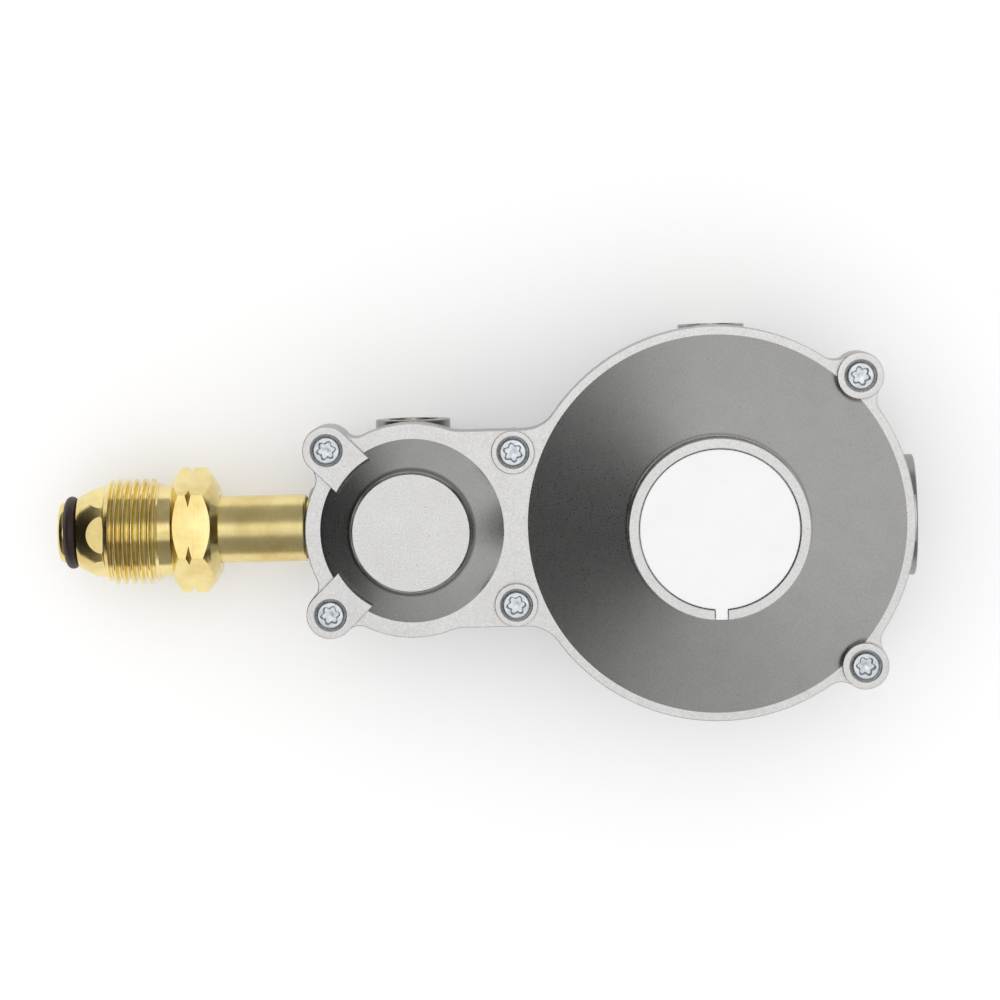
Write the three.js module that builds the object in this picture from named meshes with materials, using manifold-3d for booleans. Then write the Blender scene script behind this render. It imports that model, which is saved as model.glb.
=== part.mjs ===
// Two-stage LP-gas regulator lying on its back: two diaphragm stages in one pair of castings, with a POL
// inlet nipple and nut on the left and a 3/8-18 NPT outlet on the right.
// Millimetres. +Z is up, out of the bonnet. +X runs from inlet to outlet. The origin is on the underside,
// below the second stage's axis.
import * as THREE from "three";
import { mergeVertices } from "three/addons/utils/BufferGeometryUtils.js";
import Module from "manifold-3d";

const wasm = await Module();
wasm.setup();

// ---------------------------------------------------------------- driving dimensions

// Clearances.
const RUN_GAP = 0.1; // round a piece that slides or turns in another
const SEAT_GAP = 0.05; // between a seated piece and what it seats on
const THREAD_GAP = 0.15; // between a threaded piece and its hole, both drawn plain
const PAST = 1; // how far a hollow runs past the face that it opens, or a joined end past its seam
const EDGE = 0.6; // small chamfer on turned pieces

// Heights, stacked from the underside up.
const FLOOR_THICK = 3; // under the second stage's chamber
const FIRST_FLOOR_THICK = 4; // under the first stage's chamber
const PORT_Z = 14; // the common axis of inlet, valves and outlet
const GAUGE_DROP = 2; // gauge ports below that axis
const SPLIT_Z = 27; // joint face between body and bonnet
const BODY_FLANGE_THICK = 7;
const LUG_DROP = 4; // screw lugs below the body's flange
const BONNET_FLANGE_THICK = 4;
const BOSS_RISE = 1.6; // screw bosses above the flat rim
const BOSS_INSET = 0.1; // bosses inside the plan outline
const CONE_RISE = 7; // second stage's cone above the flat rim
const TOWER_RISE = 9; // tower above the cone
const FIRST_CONE_RISE = 4; // first stage's cone above the flat rim
const DISC_RISE = 7; // disc over the first stage, above the flat rim

// Plan of the castings: two circles, a neck, and lugs for the screws.
const FIRST_X = -63.5; // first stage's axis; the second stage's is at 0
const SECOND_FLANGE_R = 41.2;
const FIRST_FLANGE_R = 22.35;
const NECK_INSET = 1.85; // neck's side inside the first stage's circle
const NECK_FILLET_R = 7.5; // neck into the second stage's circle
const SHOULDER_FILLET_R = 8; // neck into the first stage's circle
const INLET_LUG = { angle: 135.4, out: 2.1, r: 5.05, fillet: 3.2 };
const OUTLET_LUG = { angle: 45, out: 1.5, r: 4.95, fillet: 4 };
const NECK_BOSS = { fromFirst: 21.35, inset: 4.6, r: 4.6 };
const ARM_END_R = 17.6; // where the inlet lugs' raised arms stop, from the first stage's axis

// Bonnet over the second stage.
const RIM_WIDTH = 1.8; // flat rim outside the cone
const TOWER_R = 18.65;
const TOWER_WALL = 4.15;
const CAP_RIM_WALL = 2.1; // tower's wall beside the closing cap
const CAP_DEPTH = 3; // shelf that the cap lands on, below the tower's end
const NOTCH_WIDTH = 2.9; // for the cap's key
const BONNET_WALL = 3.2; // under the cone, measured upright

// Bonnet over the first stage.
const FIRST_RIM_WIDTH = 3.2;
const FIRST_CONE_HEAD_R = 13;
const DISC_R = 12.2;
const DISC_ROOF = 2.5;
const DISC_FILLET_R = 1.6; // cone into the disc
const FIRST_SPRING_BORE_R = 10.6;
const SMALL_DOME_WALL = 2;

// Body bowls and bosses.
const SECOND_SEAL = 6.7; // flange outside the second stage's chamber
const FIRST_SEAL = 5.85;
const SECOND_FLOOR_R = 22;
const SECOND_BOWL = { wall: 3.5, kneeOut: 4, baseOut: 2.5, kneeZ: 2.5 };
const FIRST_BOWL = { wall: 3.9, kneeOut: 1.9, baseOut: 0.5, kneeZ: 2 };
const WEB_HALF = 9; // web under the neck that holds the passage between the stages
const WEB_BOTTOM_Z = 3;
const INLET_BOSS_R = 8.9;
const INLET_BOSS_REACH = 22.3; // from the first stage's axis
const OUTLET_BOSS_R = 12.8;
const OUTLET_BOSS_PROUD = 0.8; // past the flange
const FIRST_GAUGE_BOSS_R = 7.9;
const FIRST_GAUGE_PROUD = 0.15;
const SECOND_GAUGE_BOSS_R = 7; // its face is flush with the flange

// Outlet: female 3/8-18 NPT.
const OUTLET_MOUTH_R = 8.4;
const OUTLET_THREAD_R = 7.6;
const OUTLET_DEPTH = 15;
const OUTLET_PASSAGE_R = 6;

// Gauge ports: 1/8-27 NPT with socket-head plugs.
const PLUG_R = 5.1;
const PLUG_LENGTH = 6;
const PLUG_SOCKET_AF = 4.76;
const PLUG_SOCKET_DEPTH = 3.6;
const PLUG_SINK = 0.6; // plug's face below the boss's face
const TAP_R = 2; // drilling behind each plug
const TAP_LENGTH = 8;

// Cover screws: M4 with a six-lobe recess, in dished counterbores.
const SCREW_HEAD_R = 2.65;
const SCREW_HEAD_HEIGHT = 2.2;
const SCREW_HEAD_EDGE = 0.6;
const SCREW_SHANK_R = 1.9;
const SCREW_LENGTH = 12;
const SCREW_LOBE_R = 1.95;
const SCREW_WAIST_R = 1.42;
const SCREW_RECESS_DEPTH = 1.3;
const DISH_R = 3.55;
const DISH_DEPTH = 2;
const DISH_EDGE = 0.65; // upright height of the dish's sloping edge
const SCREW_TIP_ROOM = 1; // hole past the screw's tip

// Brass inlet, measured along X from the casting out to the nose's tip.
const BRASS_BORE_R = 3.2;
const TUBE_R = 7.1;
const TUBE_GAP = 0.4; // between the tube's shoulder and the casting
const TUBE_CHAMFER = 0.9;
const TUBE_SHOWN = 18.5; // bare tube between the casting and the nut
const INLET_THREAD_R = 6.5;
const NOSE_LENGTH = 5.8;
const NOSE_SMALL_R = 7.55;
const NOSE_BIG_R = 9.6;
const NOSE_FACET_AF = 17.5;
const NOSE_TURN = 0.5; // degrees that the nose's facets are turned
const GROOVE_WIDTH = 2.8;
const GROOVE_R = 5;
const O_RING_R = 1.32; // half the section's thickness
const TIP_EDGE = 1.3; // rounded edge in front of the ring
const TIP_R = 6.45;
const TIP_FACE_R = 5.1;

// POL nut: 0.885-14 NGO left-hand, hex of 23 across the flats.
const THREAD_MAJOR_R = 11.24;
const THREAD_MINOR_R = 10.1;
const THREAD_PITCH = 1.814;
const THREAD_TURNS = 6;
const THREAD_START_DROP = 0.5; // first crest below the others
const NUT_LEAD = 0.5; // plain length in front of the thread
const RELIEF_R = 9.8;
const RELIEF_LENGTH = 2.9;
const HEX_AF = 23;
const HEX_LENGTH = 9.8;
const HEX_FRONT = { r: 10.9, length: 1.6 }; // chamfer up to the corners on the thread's side
const HEX_BACK = { r: 9.4, kneeR: 11.5, kneeLength: 1.4, length: 3 }; // taper down to the tube
const HEX_GROOVE_PLACE = 4.4; // from the hexagon's front
const HEX_GROOVE_WIDTH = 1.3;
const HEX_GROOVE_DEPTH = 1.15;
const HEX_TURN = -7.2; // degrees
const NUT_END_GAP = 0.3; // between the nose's shoulder and the nut

// Closing cap and adjuster.
const CAP_THICK = 1.8;
const CAP_SINK = 0.2; // cap's face below the tower's end
const CAP_SKIRT_WALL = 1.4;
const CAP_GAP = 0.15; // round the cap and its key
const CAP_EDGE = 0.2;
const ADJUSTER_SINK = 4.4; // adjusting screw's top below the tower's end
const ADJUSTER_HEIGHT = 4.5;
const ADJUSTER_RIM = 3;
const ADJUSTER_BAR_WIDTH = 3;
const ADJUSTER_WELL_DEPTH = 2.5;
const BREATHER_R = 2;
const SPRING_SEAT_THICK = 1.2;
const SPRING_SEAT_HOLE_R = 6;
const SPRING_SEAT_ROOM = 0.6; // round the spring seat
const SPRING_ROOM = 2.1; // round each main spring

// What both stages share.
const DIAPHRAGM_THICK = 0.8;
const DIAPHRAGM_LAND = 4.4; // rubber clamped outside the chamber
const DIAPHRAGM_HINGE = 0.6; // where the rubber starts to hang, inside the chamber
const PLATE_THICK = 1;
const PLATE_LIP = 1.2;
const STEM_R = 1.6;
const STEM_END = 0.4; // stem past its nut
const POST_R = 2.2;
const POST_COLLAR = 1; // height of the collar under the rubber, and of its cone
const WAIST_R = 1.4; // post's waist, which the lever's fork straddles
const WAIST_HEIGHT = 2.5;
const POST_FOOT_R = 3;
const POST_FOOT_THICK = 1;
const PIN_R = 1.2;
const HUB_R = 2.2;
const LEVER_HALF = 3; // half the hub's length
const LEVER_THICK = 1.2;
const FORK_PAST = 3; // fork past the post's axis
const FORK_ROOM = 0.5; // between the waist and the fork's root
const FINGER_R = 1.25;
const FINGER_HALF = 1.4;
const PLUNGER_R = 3.5;
const PLUNGER_FRONT = 4.2; // from the finger's slot to the plunger's seat end
const PLUNGER_BACK = 4;
const PLUNGER_SLOT = 2.9;
const SLOT_ROOM = 0.2; // at the finger's sides
const SLOT_TOP_ROOM = 0.4; // over the finger
const SEAT_DISC_R = 2.6;
const SEAT_DISC_THICK = 1.6;
const SEAT_DISC_PROUD = 0.4;
const CARRIER_HALF = 4; // half length along X
const CARRIER_WALL = 1.6; // its front and back walls
const CARRIER_OVER = 1.2; // over the plunger
const CARRIER_UNDER = 0.8; // under the plunger
const CHEEK_IN = 4.2;
const CHEEK_OUT = 6.4;
const FOOT_OUT = 11;
const FOOT_THICK = 1.6;
const PAD_MARGIN = 0.4; // floor pad round the carrier's foot
const CARRIER_SCREW_Y = 8.7;
const SMALL_HEAD_R = 2.1;
const SMALL_HEAD_HEIGHT = 1.4;
const SMALL_SLOT_WIDTH = 0.6;
const SMALL_SLOT_DEPTH = 0.6;
const SMALL_SHANK_R = 1.25;
const SMALL_SHANK_LENGTH = 3;
const STEM_NUT_AF = 5.5;
const STEM_NUT_HEIGHT = 2.2;
const STEM_NUT_GAP = 0.08;
const JET_HEAD_AF = 9;
const JET_HEAD_LENGTH = 1.8;
const JET_NOSE_R = 2.4;
const JET_NOSE_LENGTH = 1.4;
const JET_LIP = 0.4; // wall of the jet's mouth
const PASSAGE_R = 3; // between the stages
const SCREEN_R = 2.9;
const SCREEN_LENGTH = 5;
const SCREEN_WALL = 0.5;
const SCREEN_HOLE_R = 0.6;
const VENT_WIDTH = 2; // channel between the two spring spaces
const VENT_DEPTH = 1.2;

// Each stage's own sizes. fold is the rubber's free width outside the plate, drop is how far the
// diaphragm hangs below the split when no gas is on, and arm and finger are the lever's two lengths.
const FIRST = {
  name: "first_stage", x: FIRST_X, floor: FIRST_FLOOR_THICK, pad: 0, chamberR: FIRST_FLANGE_R - FIRST_SEAL,
  fold: 5.5, drop: 3, stroke: 2, arm: 7.5, finger: 6, postTopR: 4.2,
  springR: FIRST_SPRING_BORE_R - SPRING_ROOM, springWire: 1.6, springTurns: 3,
  jetR: 1.1, jetThreadR: 3.4, jetThreadLength: 6,
};
const SECOND = {
  name: "second_stage", x: 0, floor: FLOOR_THICK, pad: 2, chamberR: SECOND_FLANGE_R - SECOND_SEAL,
  fold: 9.5, drop: 4.8, stroke: 4, arm: 15, finger: 6, postTopR: 4.6,
  springR: TOWER_R - TOWER_WALL - SPRING_ROOM, springWire: 1.5, springTurns: 3,
  jetR: 1.6, jetThreadR: 4.5, jetThreadLength: 8,
};
const RELIEF_SPRING = { r: 3.6, wire: 0.8, turns: 3, height: 4.5 };

// Facets on a full circle, and degrees between the points of an outline's arcs.
const FINE = 36;
const MEDIUM = 20;
const COARSE = 12;
const ARC_STEP = 9;
const FILLET_STEP = 15;

// ---------------------------------------------------------------- sizes worked out from them

const rad = THREE.MathUtils.degToRad;
const skirtZ = SPLIT_Z - BODY_FLANGE_THICK;
const lugBottomZ = skirtZ - LUG_DROP;
const flangeTopZ = SPLIT_Z + BONNET_FLANGE_THICK;
const bossTopZ = flangeTopZ + BOSS_RISE;
const coneHeadZ = flangeTopZ + CONE_RISE;
const towerTopZ = coneHeadZ + TOWER_RISE;
const capShelfZ = towerTopZ - CAP_DEPTH;
const capTopZ = towerTopZ - CAP_SINK;
const discTopZ = flangeTopZ + DISC_RISE;
const firstRoofZ = discTopZ - DISC_ROOF;
const adjusterTopZ = towerTopZ - ADJUSTER_SINK;
const springSeatTopZ = adjusterTopZ - ADJUSTER_HEIGHT - SEAT_GAP;
const gaugeZ = PORT_Z - GAUGE_DROP;
const screwSeatZ = bossTopZ - DISH_DEPTH;
const screwTipZ = screwSeatZ - SCREW_LENGTH;

const neckHalf = FIRST_FLANGE_R - NECK_INSET;
const coneFootR = SECOND_FLANGE_R - RIM_WIDTH;
const firstConeR = FIRST_FLANGE_R - FIRST_RIM_WIDTH;
const towerBoreR = TOWER_R - TOWER_WALL;
const capBoreR = TOWER_R - CAP_RIM_WALL;
const inletFaceX = FIRST_X - INLET_BOSS_REACH;
const outletFaceX = SECOND_FLANGE_R + OUTLET_BOSS_PROUD;
const inletLug = lugPlace(INLET_LUG, FIRST_X, FIRST_FLANGE_R);
const outletLug = lugPlace(OUTLET_LUG, 0, SECOND_FLANGE_R);
const neckBoss = { x: FIRST_X + NECK_BOSS.fromFirst, y: neckHalf - NECK_BOSS.inset, r: NECK_BOSS.r };
const gaugePorts = [
  { stage: FIRST, r: FIRST_GAUGE_BOSS_R, face: FIRST_FLANGE_R + FIRST_GAUGE_PROUD },
  { stage: SECOND, r: SECOND_GAUGE_BOSS_R, face: SECOND_FLANGE_R },
];

const tubeEndX = inletFaceX - TUBE_GAP;
const hexEndX = tubeEndX - TUBE_SHOWN;
const hexStartX = hexEndX - HEX_LENGTH;
const threadEndX = hexStartX - RELIEF_LENGTH;
const threadStartX = threadEndX - THREAD_TURNS * THREAD_PITCH;
const nutStartX = threadStartX - NUT_LEAD;
const noseEndX = nutStartX - NUT_END_GAP;
const noseStartX = noseEndX - NOSE_LENGTH;
const ringFrontX = noseStartX - GROOVE_WIDTH;
const noseTipX = ringFrontX - TIP_EDGE;

function lugPlace(lug, x, flangeR) {
  const out = flangeR + lug.out;
  const a = rad(lug.angle);
  return { x: x + out * Math.cos(a), y: out * Math.sin(a), r: lug.r, fillet: lug.fillet };
}

// ---------------------------------------------------------------- solids and helpers

function solidOf(geometry) {
  const bare = geometry.index ? geometry.toNonIndexed() : geometry.clone();
  bare.deleteAttribute("normal");
  bare.deleteAttribute("uv");
  const merged = mergeVertices(bare, 1e-4);
  const mesh = new wasm.Mesh({
    numProp: 3,
    vertProperties: merged.attributes.position.array,
    triVerts: new Uint32Array(merged.index.array),
  });
  return new wasm.Manifold(mesh);
}

function geometryOf(solid) {
  const mesh = solid.getMesh();
  const geometry = new THREE.BufferGeometry();
  geometry.setAttribute("position", new THREE.BufferAttribute(mesh.vertProperties, 3));
  geometry.setIndex(new THREE.BufferAttribute(mesh.triVerts, 1));
  const flat = geometry.toNonIndexed();
  flat.computeVertexNormals();
  return flat;
}

function join(...solids) {
  return solids.reduce((whole, piece) => whole.add(piece));
}

function cut(base, ...tools) {
  return tools.reduce((left, tool) => left.subtract(tool), base);
}

// A solid turned from [radius, height] points about Z, then laid along X or Y if asked.
function turned(points, steps = MEDIUM, along = "z") {
  const profile = points.map(([r, h]) => new THREE.Vector2(r, h));
  const geometry = new THREE.LatheGeometry(profile, steps);
  geometry.rotateX(Math.PI / 2);
  if (along === "x") geometry.rotateY(Math.PI / 2);
  if (along === "y") geometry.rotateX(-Math.PI / 2);
  return solidOf(geometry);
}

// A closed profile is turned as a ring.
function ring(points, steps, along) {
  return turned([...points, points[0]], steps, along);
}

// An open profile has its two ends brought to the axis.
function spun(points, steps, along) {
  const last = points[points.length - 1];
  return turned([[0, points[0][1]], ...points, [0, last[1]]], steps, along);
}

function rod(r, from, to, steps, along) {
  return spun([[r, from], [r, to]], steps, along);
}

function block(x0, x1, y0, y1, z0, z1) {
  const geometry = new THREE.BoxGeometry(x1 - x0, y1 - y0, z1 - z0);
  geometry.translate((x0 + x1) / 2, (y0 + y1) / 2, (z0 + z1) / 2);
  return solidOf(geometry);
}

function prism(points, from, to) {
  const shape = new THREE.Shape(points.map(([x, y]) => new THREE.Vector2(x, y)));
  const geometry = new THREE.ExtrudeGeometry(shape, { depth: to - from, bevelEnabled: false });
  geometry.translate(0, 0, from);
  return solidOf(geometry);
}

function hexPoints(af, turn = 0) {
  return [...Array(6).keys()].map((i) => {
    const a = rad(60 * i + 30 + turn);
    return [(af / Math.sqrt(3)) * Math.cos(a), (af / Math.sqrt(3)) * Math.sin(a)];
  });
}

// A hexagonal bar along X, with a flat facing +Z when turn is 0.
function hexBar(af, from, to, turn) {
  return prism(hexPoints(af, turn), from, to).rotate([0, 90, 0]);
}

function arc(x, y, r, from, to, stepDegrees = ARC_STEP) {
  const n = Math.max(2, Math.ceil(Math.abs(to - from) / stepDegrees));
  return [...Array(n + 1).keys()].map((i) => {
    const a = rad(from + ((to - from) * i) / n);
    return [x + r * Math.cos(a), y + r * Math.sin(a)];
  });
}

// The direction from one point to another, in degrees.
function bearing(from, to) {
  return THREE.MathUtils.radToDeg(Math.atan2(to.y - from.y, to.x - from.x));
}

// The centre of a fillet of radius f that touches two circles from outside, on the left of a to b.
function filletCentre(a, b, f) {
  const dx = b.x - a.x;
  const dy = b.y - a.y;
  const d = Math.hypot(dx, dy);
  const along = (d * d + (a.r + f) ** 2 - (b.r + f) ** 2) / (2 * d);
  const off = Math.sqrt((a.r + f) ** 2 - along * along);
  return { x: a.x + (dx * along - dy * off) / d, y: a.y + (dy * along + dx * off) / d, r: f };
}

// The castings' plan outline: convex circles joined by concave fillets, drawn over the top half from
// left to right and mirrored below.
function planOutline() {
  const first = { x: FIRST_X, y: 0, r: FIRST_FLANGE_R };
  const second = { x: 0, y: 0, r: SECOND_FLANGE_R };
  const shoulder = neckFillet(first, SHOULDER_FILLET_R, 1);
  const neck = neckFillet(second, NECK_FILLET_R, -1);
  const beforeInlet = filletCentre(first, inletLug, inletLug.fillet);
  const afterInlet = filletCentre(inletLug, first, inletLug.fillet);
  const beforeOutlet = filletCentre(second, outletLug, outletLug.fillet);
  const afterOutlet = filletCentre(outletLug, second, outletLug.fillet);
  const runs = [
    convex(first, 180, bearing(first, beforeInlet)),
    concave(beforeInlet, first, inletLug),
    convex(inletLug, bearing(inletLug, beforeInlet), bearing(inletLug, afterInlet)),
    concave(afterInlet, inletLug, first),
    convex(first, bearing(first, afterInlet), bearing(first, shoulder)),
    arc(shoulder.x, shoulder.y, shoulder.r, bearing(shoulder, first) + 360, 270, FILLET_STEP),
    arc(neck.x, neck.y, neck.r, 270, bearing(neck, second) + 360, FILLET_STEP),
    convex(second, bearing(second, neck), 90),
    convex(second, 90, bearing(second, beforeOutlet)),
    concave(beforeOutlet, second, outletLug),
    convex(outletLug, bearing(outletLug, beforeOutlet), bearing(outletLug, afterOutlet)),
    concave(afterOutlet, outletLug, second),
    convex(second, bearing(second, afterOutlet), 0),
  ];
  const top = tidy(runs.flat());
  const bottom = top.slice(1, -1).map(([x, y]) => [x, -y]);
  return [...top, ...bottom.reverse()].reverse();
}

// A fillet between the neck's straight side and a circle, on the circle's right (1) or left (-1).
function neckFillet(circle, f, side) {
  const across = Math.sqrt((circle.r + f) ** 2 - (neckHalf + f) ** 2);
  return { x: circle.x + side * across, y: neckHalf + f, r: f };
}

// An arc that turns clockwise round a convex circle.
function convex(c, from, to) {
  return arc(c.x, c.y, c.r, from, to > from ? to - 360 : to);
}

// An arc that turns anticlockwise round a fillet's centre, from circle a to circle b.
function concave(c, a, b) {
  const from = bearing(c, a);
  const to = bearing(c, b);
  return arc(c.x, c.y, c.r, from, to < from ? to + 360 : to, FILLET_STEP);
}

function tidy(points) {
  const near = ([ax, ay], [bx, by]) => Math.hypot(ax - bx, ay - by) < 0.01;
  return points.filter((p, i) => i === 0 || !near(p, points[i - 1]));
}

const bothSides = [1, -1];

// A span [low, high] on one side of the middle plane.
function span(side, inner, outer) {
  return side > 0 ? [inner, outer] : [-outer, -inner];
}

const root = new THREE.Group();

function place(name, solid, look, x = 0, y = 0, z = 0) {
  const mesh = new THREE.Mesh(geometryOf(solid), new THREE.MeshStandardMaterial(look));
  mesh.name = name;
  mesh.position.set(x, y, z);
  root.add(mesh);
}

const CAST = { color: 0xb4b4b0, roughness: 0.45, metalness: 0.9 };
const BRASS = { color: 0xc9a54a, roughness: 0.3, metalness: 1 };
const ZINC = { color: 0xd8dce0, roughness: 0.25, metalness: 1 };
const STEEL = { color: 0xa8abad, roughness: 0.35, metalness: 1 };
const SPRING_STEEL = { color: 0x8d9094, roughness: 0.3, metalness: 1 };
const WHITE_PLASTIC = { color: 0xf3f3f1, roughness: 0.4, metalness: 0 };
const BLACK_PLASTIC = { color: 0x2b2b2c, roughness: 0.5, metalness: 0 };
const RUBBER = { color: 0x1d1a19, roughness: 0.7, metalness: 0 };

// ---------------------------------------------------------------- castings

const outline = planOutline();
const screwSpots = [inletLug, neckBoss, outletLug].flatMap((lug) =>
  bothSides.map((side) => ({ x: lug.x, y: side * lug.y, r: lug.r })),
);

function lugColumns(from, to) {
  return screwSpots.map((s) => rod(s.r - BOSS_INSET, from, to, MEDIUM).translate([s.x, s.y, 0]));
}

function bodyCasting() {
  const joinZ = skirtZ + PAST;
  const web = block(FIRST_X, 0, -WEB_HALF, WEB_HALF, WEB_BOTTOM_Z, joinZ);
  const inlet = rod(INLET_BOSS_R, inletFaceX, FIRST_X, MEDIUM, "x");
  const outlet = rod(OUTLET_BOSS_R, 0, outletFaceX, MEDIUM, "x");
  const ports = gaugePorts.map((port) =>
    rod(port.r, 0, port.face, MEDIUM, "y").translate([port.stage.x, 0, gaugeZ]),
  );
  const outside = join(
    prism(outline, skirtZ, SPLIT_Z),
    ...lugColumns(lugBottomZ, joinZ),
    bowl(SECOND, SECOND_BOWL, SECOND_FLOOR_R), bowl(FIRST, FIRST_BOWL, FIRST.chamberR),
    web, join(inlet, outlet).translate([0, 0, PORT_Z]), ...ports,
  );
  return addSeats(cut(outside, ...bodyHollows()));
}

function bowl(stage, shape, floorR) {
  const topR = stage.chamberR + shape.wall;
  return spun(
    [[floorR + shape.baseOut, 0], [floorR + shape.kneeOut, shape.kneeZ], [topR, skirtZ],
      [topR, skirtZ + PAST]],
    FINE,
  ).translate([stage.x, 0, 0]);
}

function bodyHollows() {
  const chamber = spun(
    [[SECOND_FLOOR_R, SECOND.floor], [SECOND.chamberR, skirtZ], [SECOND.chamberR, SPLIT_Z + PAST]],
    FINE,
  );
  const smallChamber = rod(FIRST.chamberR, FIRST.floor, SPLIT_Z + PAST, FINE).translate([FIRST_X, 0, 0]);
  const socket = spun(
    [[OUTLET_PASSAGE_R, SECOND_FLOOR_R], [OUTLET_PASSAGE_R, outletFaceX - OUTLET_DEPTH],
      [OUTLET_THREAD_R, outletFaceX - OUTLET_DEPTH], [OUTLET_MOUTH_R, outletFaceX],
      [OUTLET_MOUTH_R, outletFaceX + PAST]],
    MEDIUM, "x",
  );
  const inletHole = rod(INLET_THREAD_R + THREAD_GAP, inletFaceX - PAST, FIRST_X, MEDIUM, "x");
  const { shoulder } = jetPlan(SECOND);
  const jetEnd = shoulder - SECOND.jetThreadLength - PAST;
  const jetHole = rod(SECOND.jetThreadR + THREAD_GAP, jetEnd, 0, MEDIUM, "x");
  const passage = rod(PASSAGE_R, FIRST_X, shoulder, COARSE, "x");
  const alongX = [socket, inletHole, jetHole, passage].map((hole) => hole.translate([0, 0, PORT_Z]));
  return [chamber, smallChamber, ...alongX, ...gaugePorts.flatMap(portHoles), ...screwSpots.map(screwHole)];
}

function portHoles(port) {
  const bottom = port.face - PLUG_SINK - PLUG_LENGTH - SEAT_GAP;
  return [
    rod(PLUG_R + THREAD_GAP, bottom, port.face + PAST, MEDIUM, "y"),
    rod(TAP_R, bottom - TAP_LENGTH, bottom + PAST, COARSE, "y"),
  ].map((hole) => hole.translate([port.stage.x, 0, gaugeZ]));
}

function screwHole(spot) {
  const from = screwTipZ - SCREW_TIP_ROOM;
  return rod(SCREW_SHANK_R + THREAD_GAP, from, flangeTopZ, COARSE).translate([spot.x, spot.y, 0]);
}

// What the valve carriers are screwed to: pads on the second chamber's floor, and two blind holes each.
function addSeats(casting) {
  return [FIRST, SECOND].reduce((whole, stage) => {
    const { pinX, seatZ } = leverPlan(stage);
    const half = CARRIER_HALF + PAD_MARGIN;
    const pads = bothSides.map((side) => {
      const [y0, y1] = span(side, CHEEK_IN, FOOT_OUT + PAD_MARGIN);
      return block(pinX - half, pinX + half, y0, y1, stage.floor - PAST, seatZ);
    });
    const bottom = seatZ - SMALL_SHANK_LENGTH - SEAT_GAP;
    const holes = bothSides.map((side) =>
      rod(SMALL_SHANK_R + THREAD_GAP, bottom + FOOT_THICK, seatZ + PAST, COARSE)
        .translate([pinX, side * CARRIER_SCREW_Y, 0]),
    );
    return cut(join(whole, ...pads), ...holes);
  }, casting);
}

function bonnetCasting() {
  const cone = spun(
    [[coneFootR, flangeTopZ - PAST], [coneFootR, flangeTopZ], [TOWER_R, coneHeadZ],
      [TOWER_R, towerTopZ - CAP_EDGE], [TOWER_R - CAP_EDGE, towerTopZ]],
    FINE,
  );
  const smallCone = spun(
    [[firstConeR, flangeTopZ - PAST], [firstConeR, flangeTopZ], ...discFoot(),
      [DISC_R, discTopZ - CAP_EDGE], [DISC_R - CAP_EDGE, discTopZ]],
    FINE,
  ).translate([FIRST_X, 0, 0]);
  const outside = join(
    prism(outline, SPLIT_Z, flangeTopZ), cone, smallCone, ...lugColumns(SPLIT_Z, bossTopZ), ...arms(),
  );
  return cut(outside, ...bonnetHollows());
}

// The fillet that touches the first stage's cone and the disc's wall.
function discFoot() {
  const slope = Math.atan2(FIRST_CONE_RISE, firstConeR - FIRST_CONE_HEAD_R);
  const centreR = DISC_R + DISC_FILLET_R;
  const footR = centreR - DISC_FILLET_R * Math.sin(slope);
  const footZ = flangeTopZ + (firstConeR - footR) * Math.tan(slope);
  const centreZ = footZ + DISC_FILLET_R * Math.cos(slope);
  return arc(centreR, centreZ, DISC_FILLET_R, 270 - THREE.MathUtils.radToDeg(slope), 180, 20);
}

// The raised arms run from the inlet lugs towards the first stage's axis and stop on an arc round it.
function arms() {
  const axis = { x: FIRST_X, y: 0 };
  const core = rod(ARM_END_R, SPLIT_Z - PAST, bossTopZ + PAST, FINE).translate([FIRST_X, 0, 0]);
  return bothSides.map((side) => {
    const lug = { x: inletLug.x, y: side * inletLug.y };
    const length = Math.hypot(lug.x - axis.x, lug.y);
    const half = inletLug.r - BOSS_INSET;
    const bar = block(0, length, -half, half, SPLIT_Z, bossTopZ);
    return cut(bar.rotate([0, 0, bearing(lug, axis)]).translate([lug.x, lug.y, 0]), core);
  });
}

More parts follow.
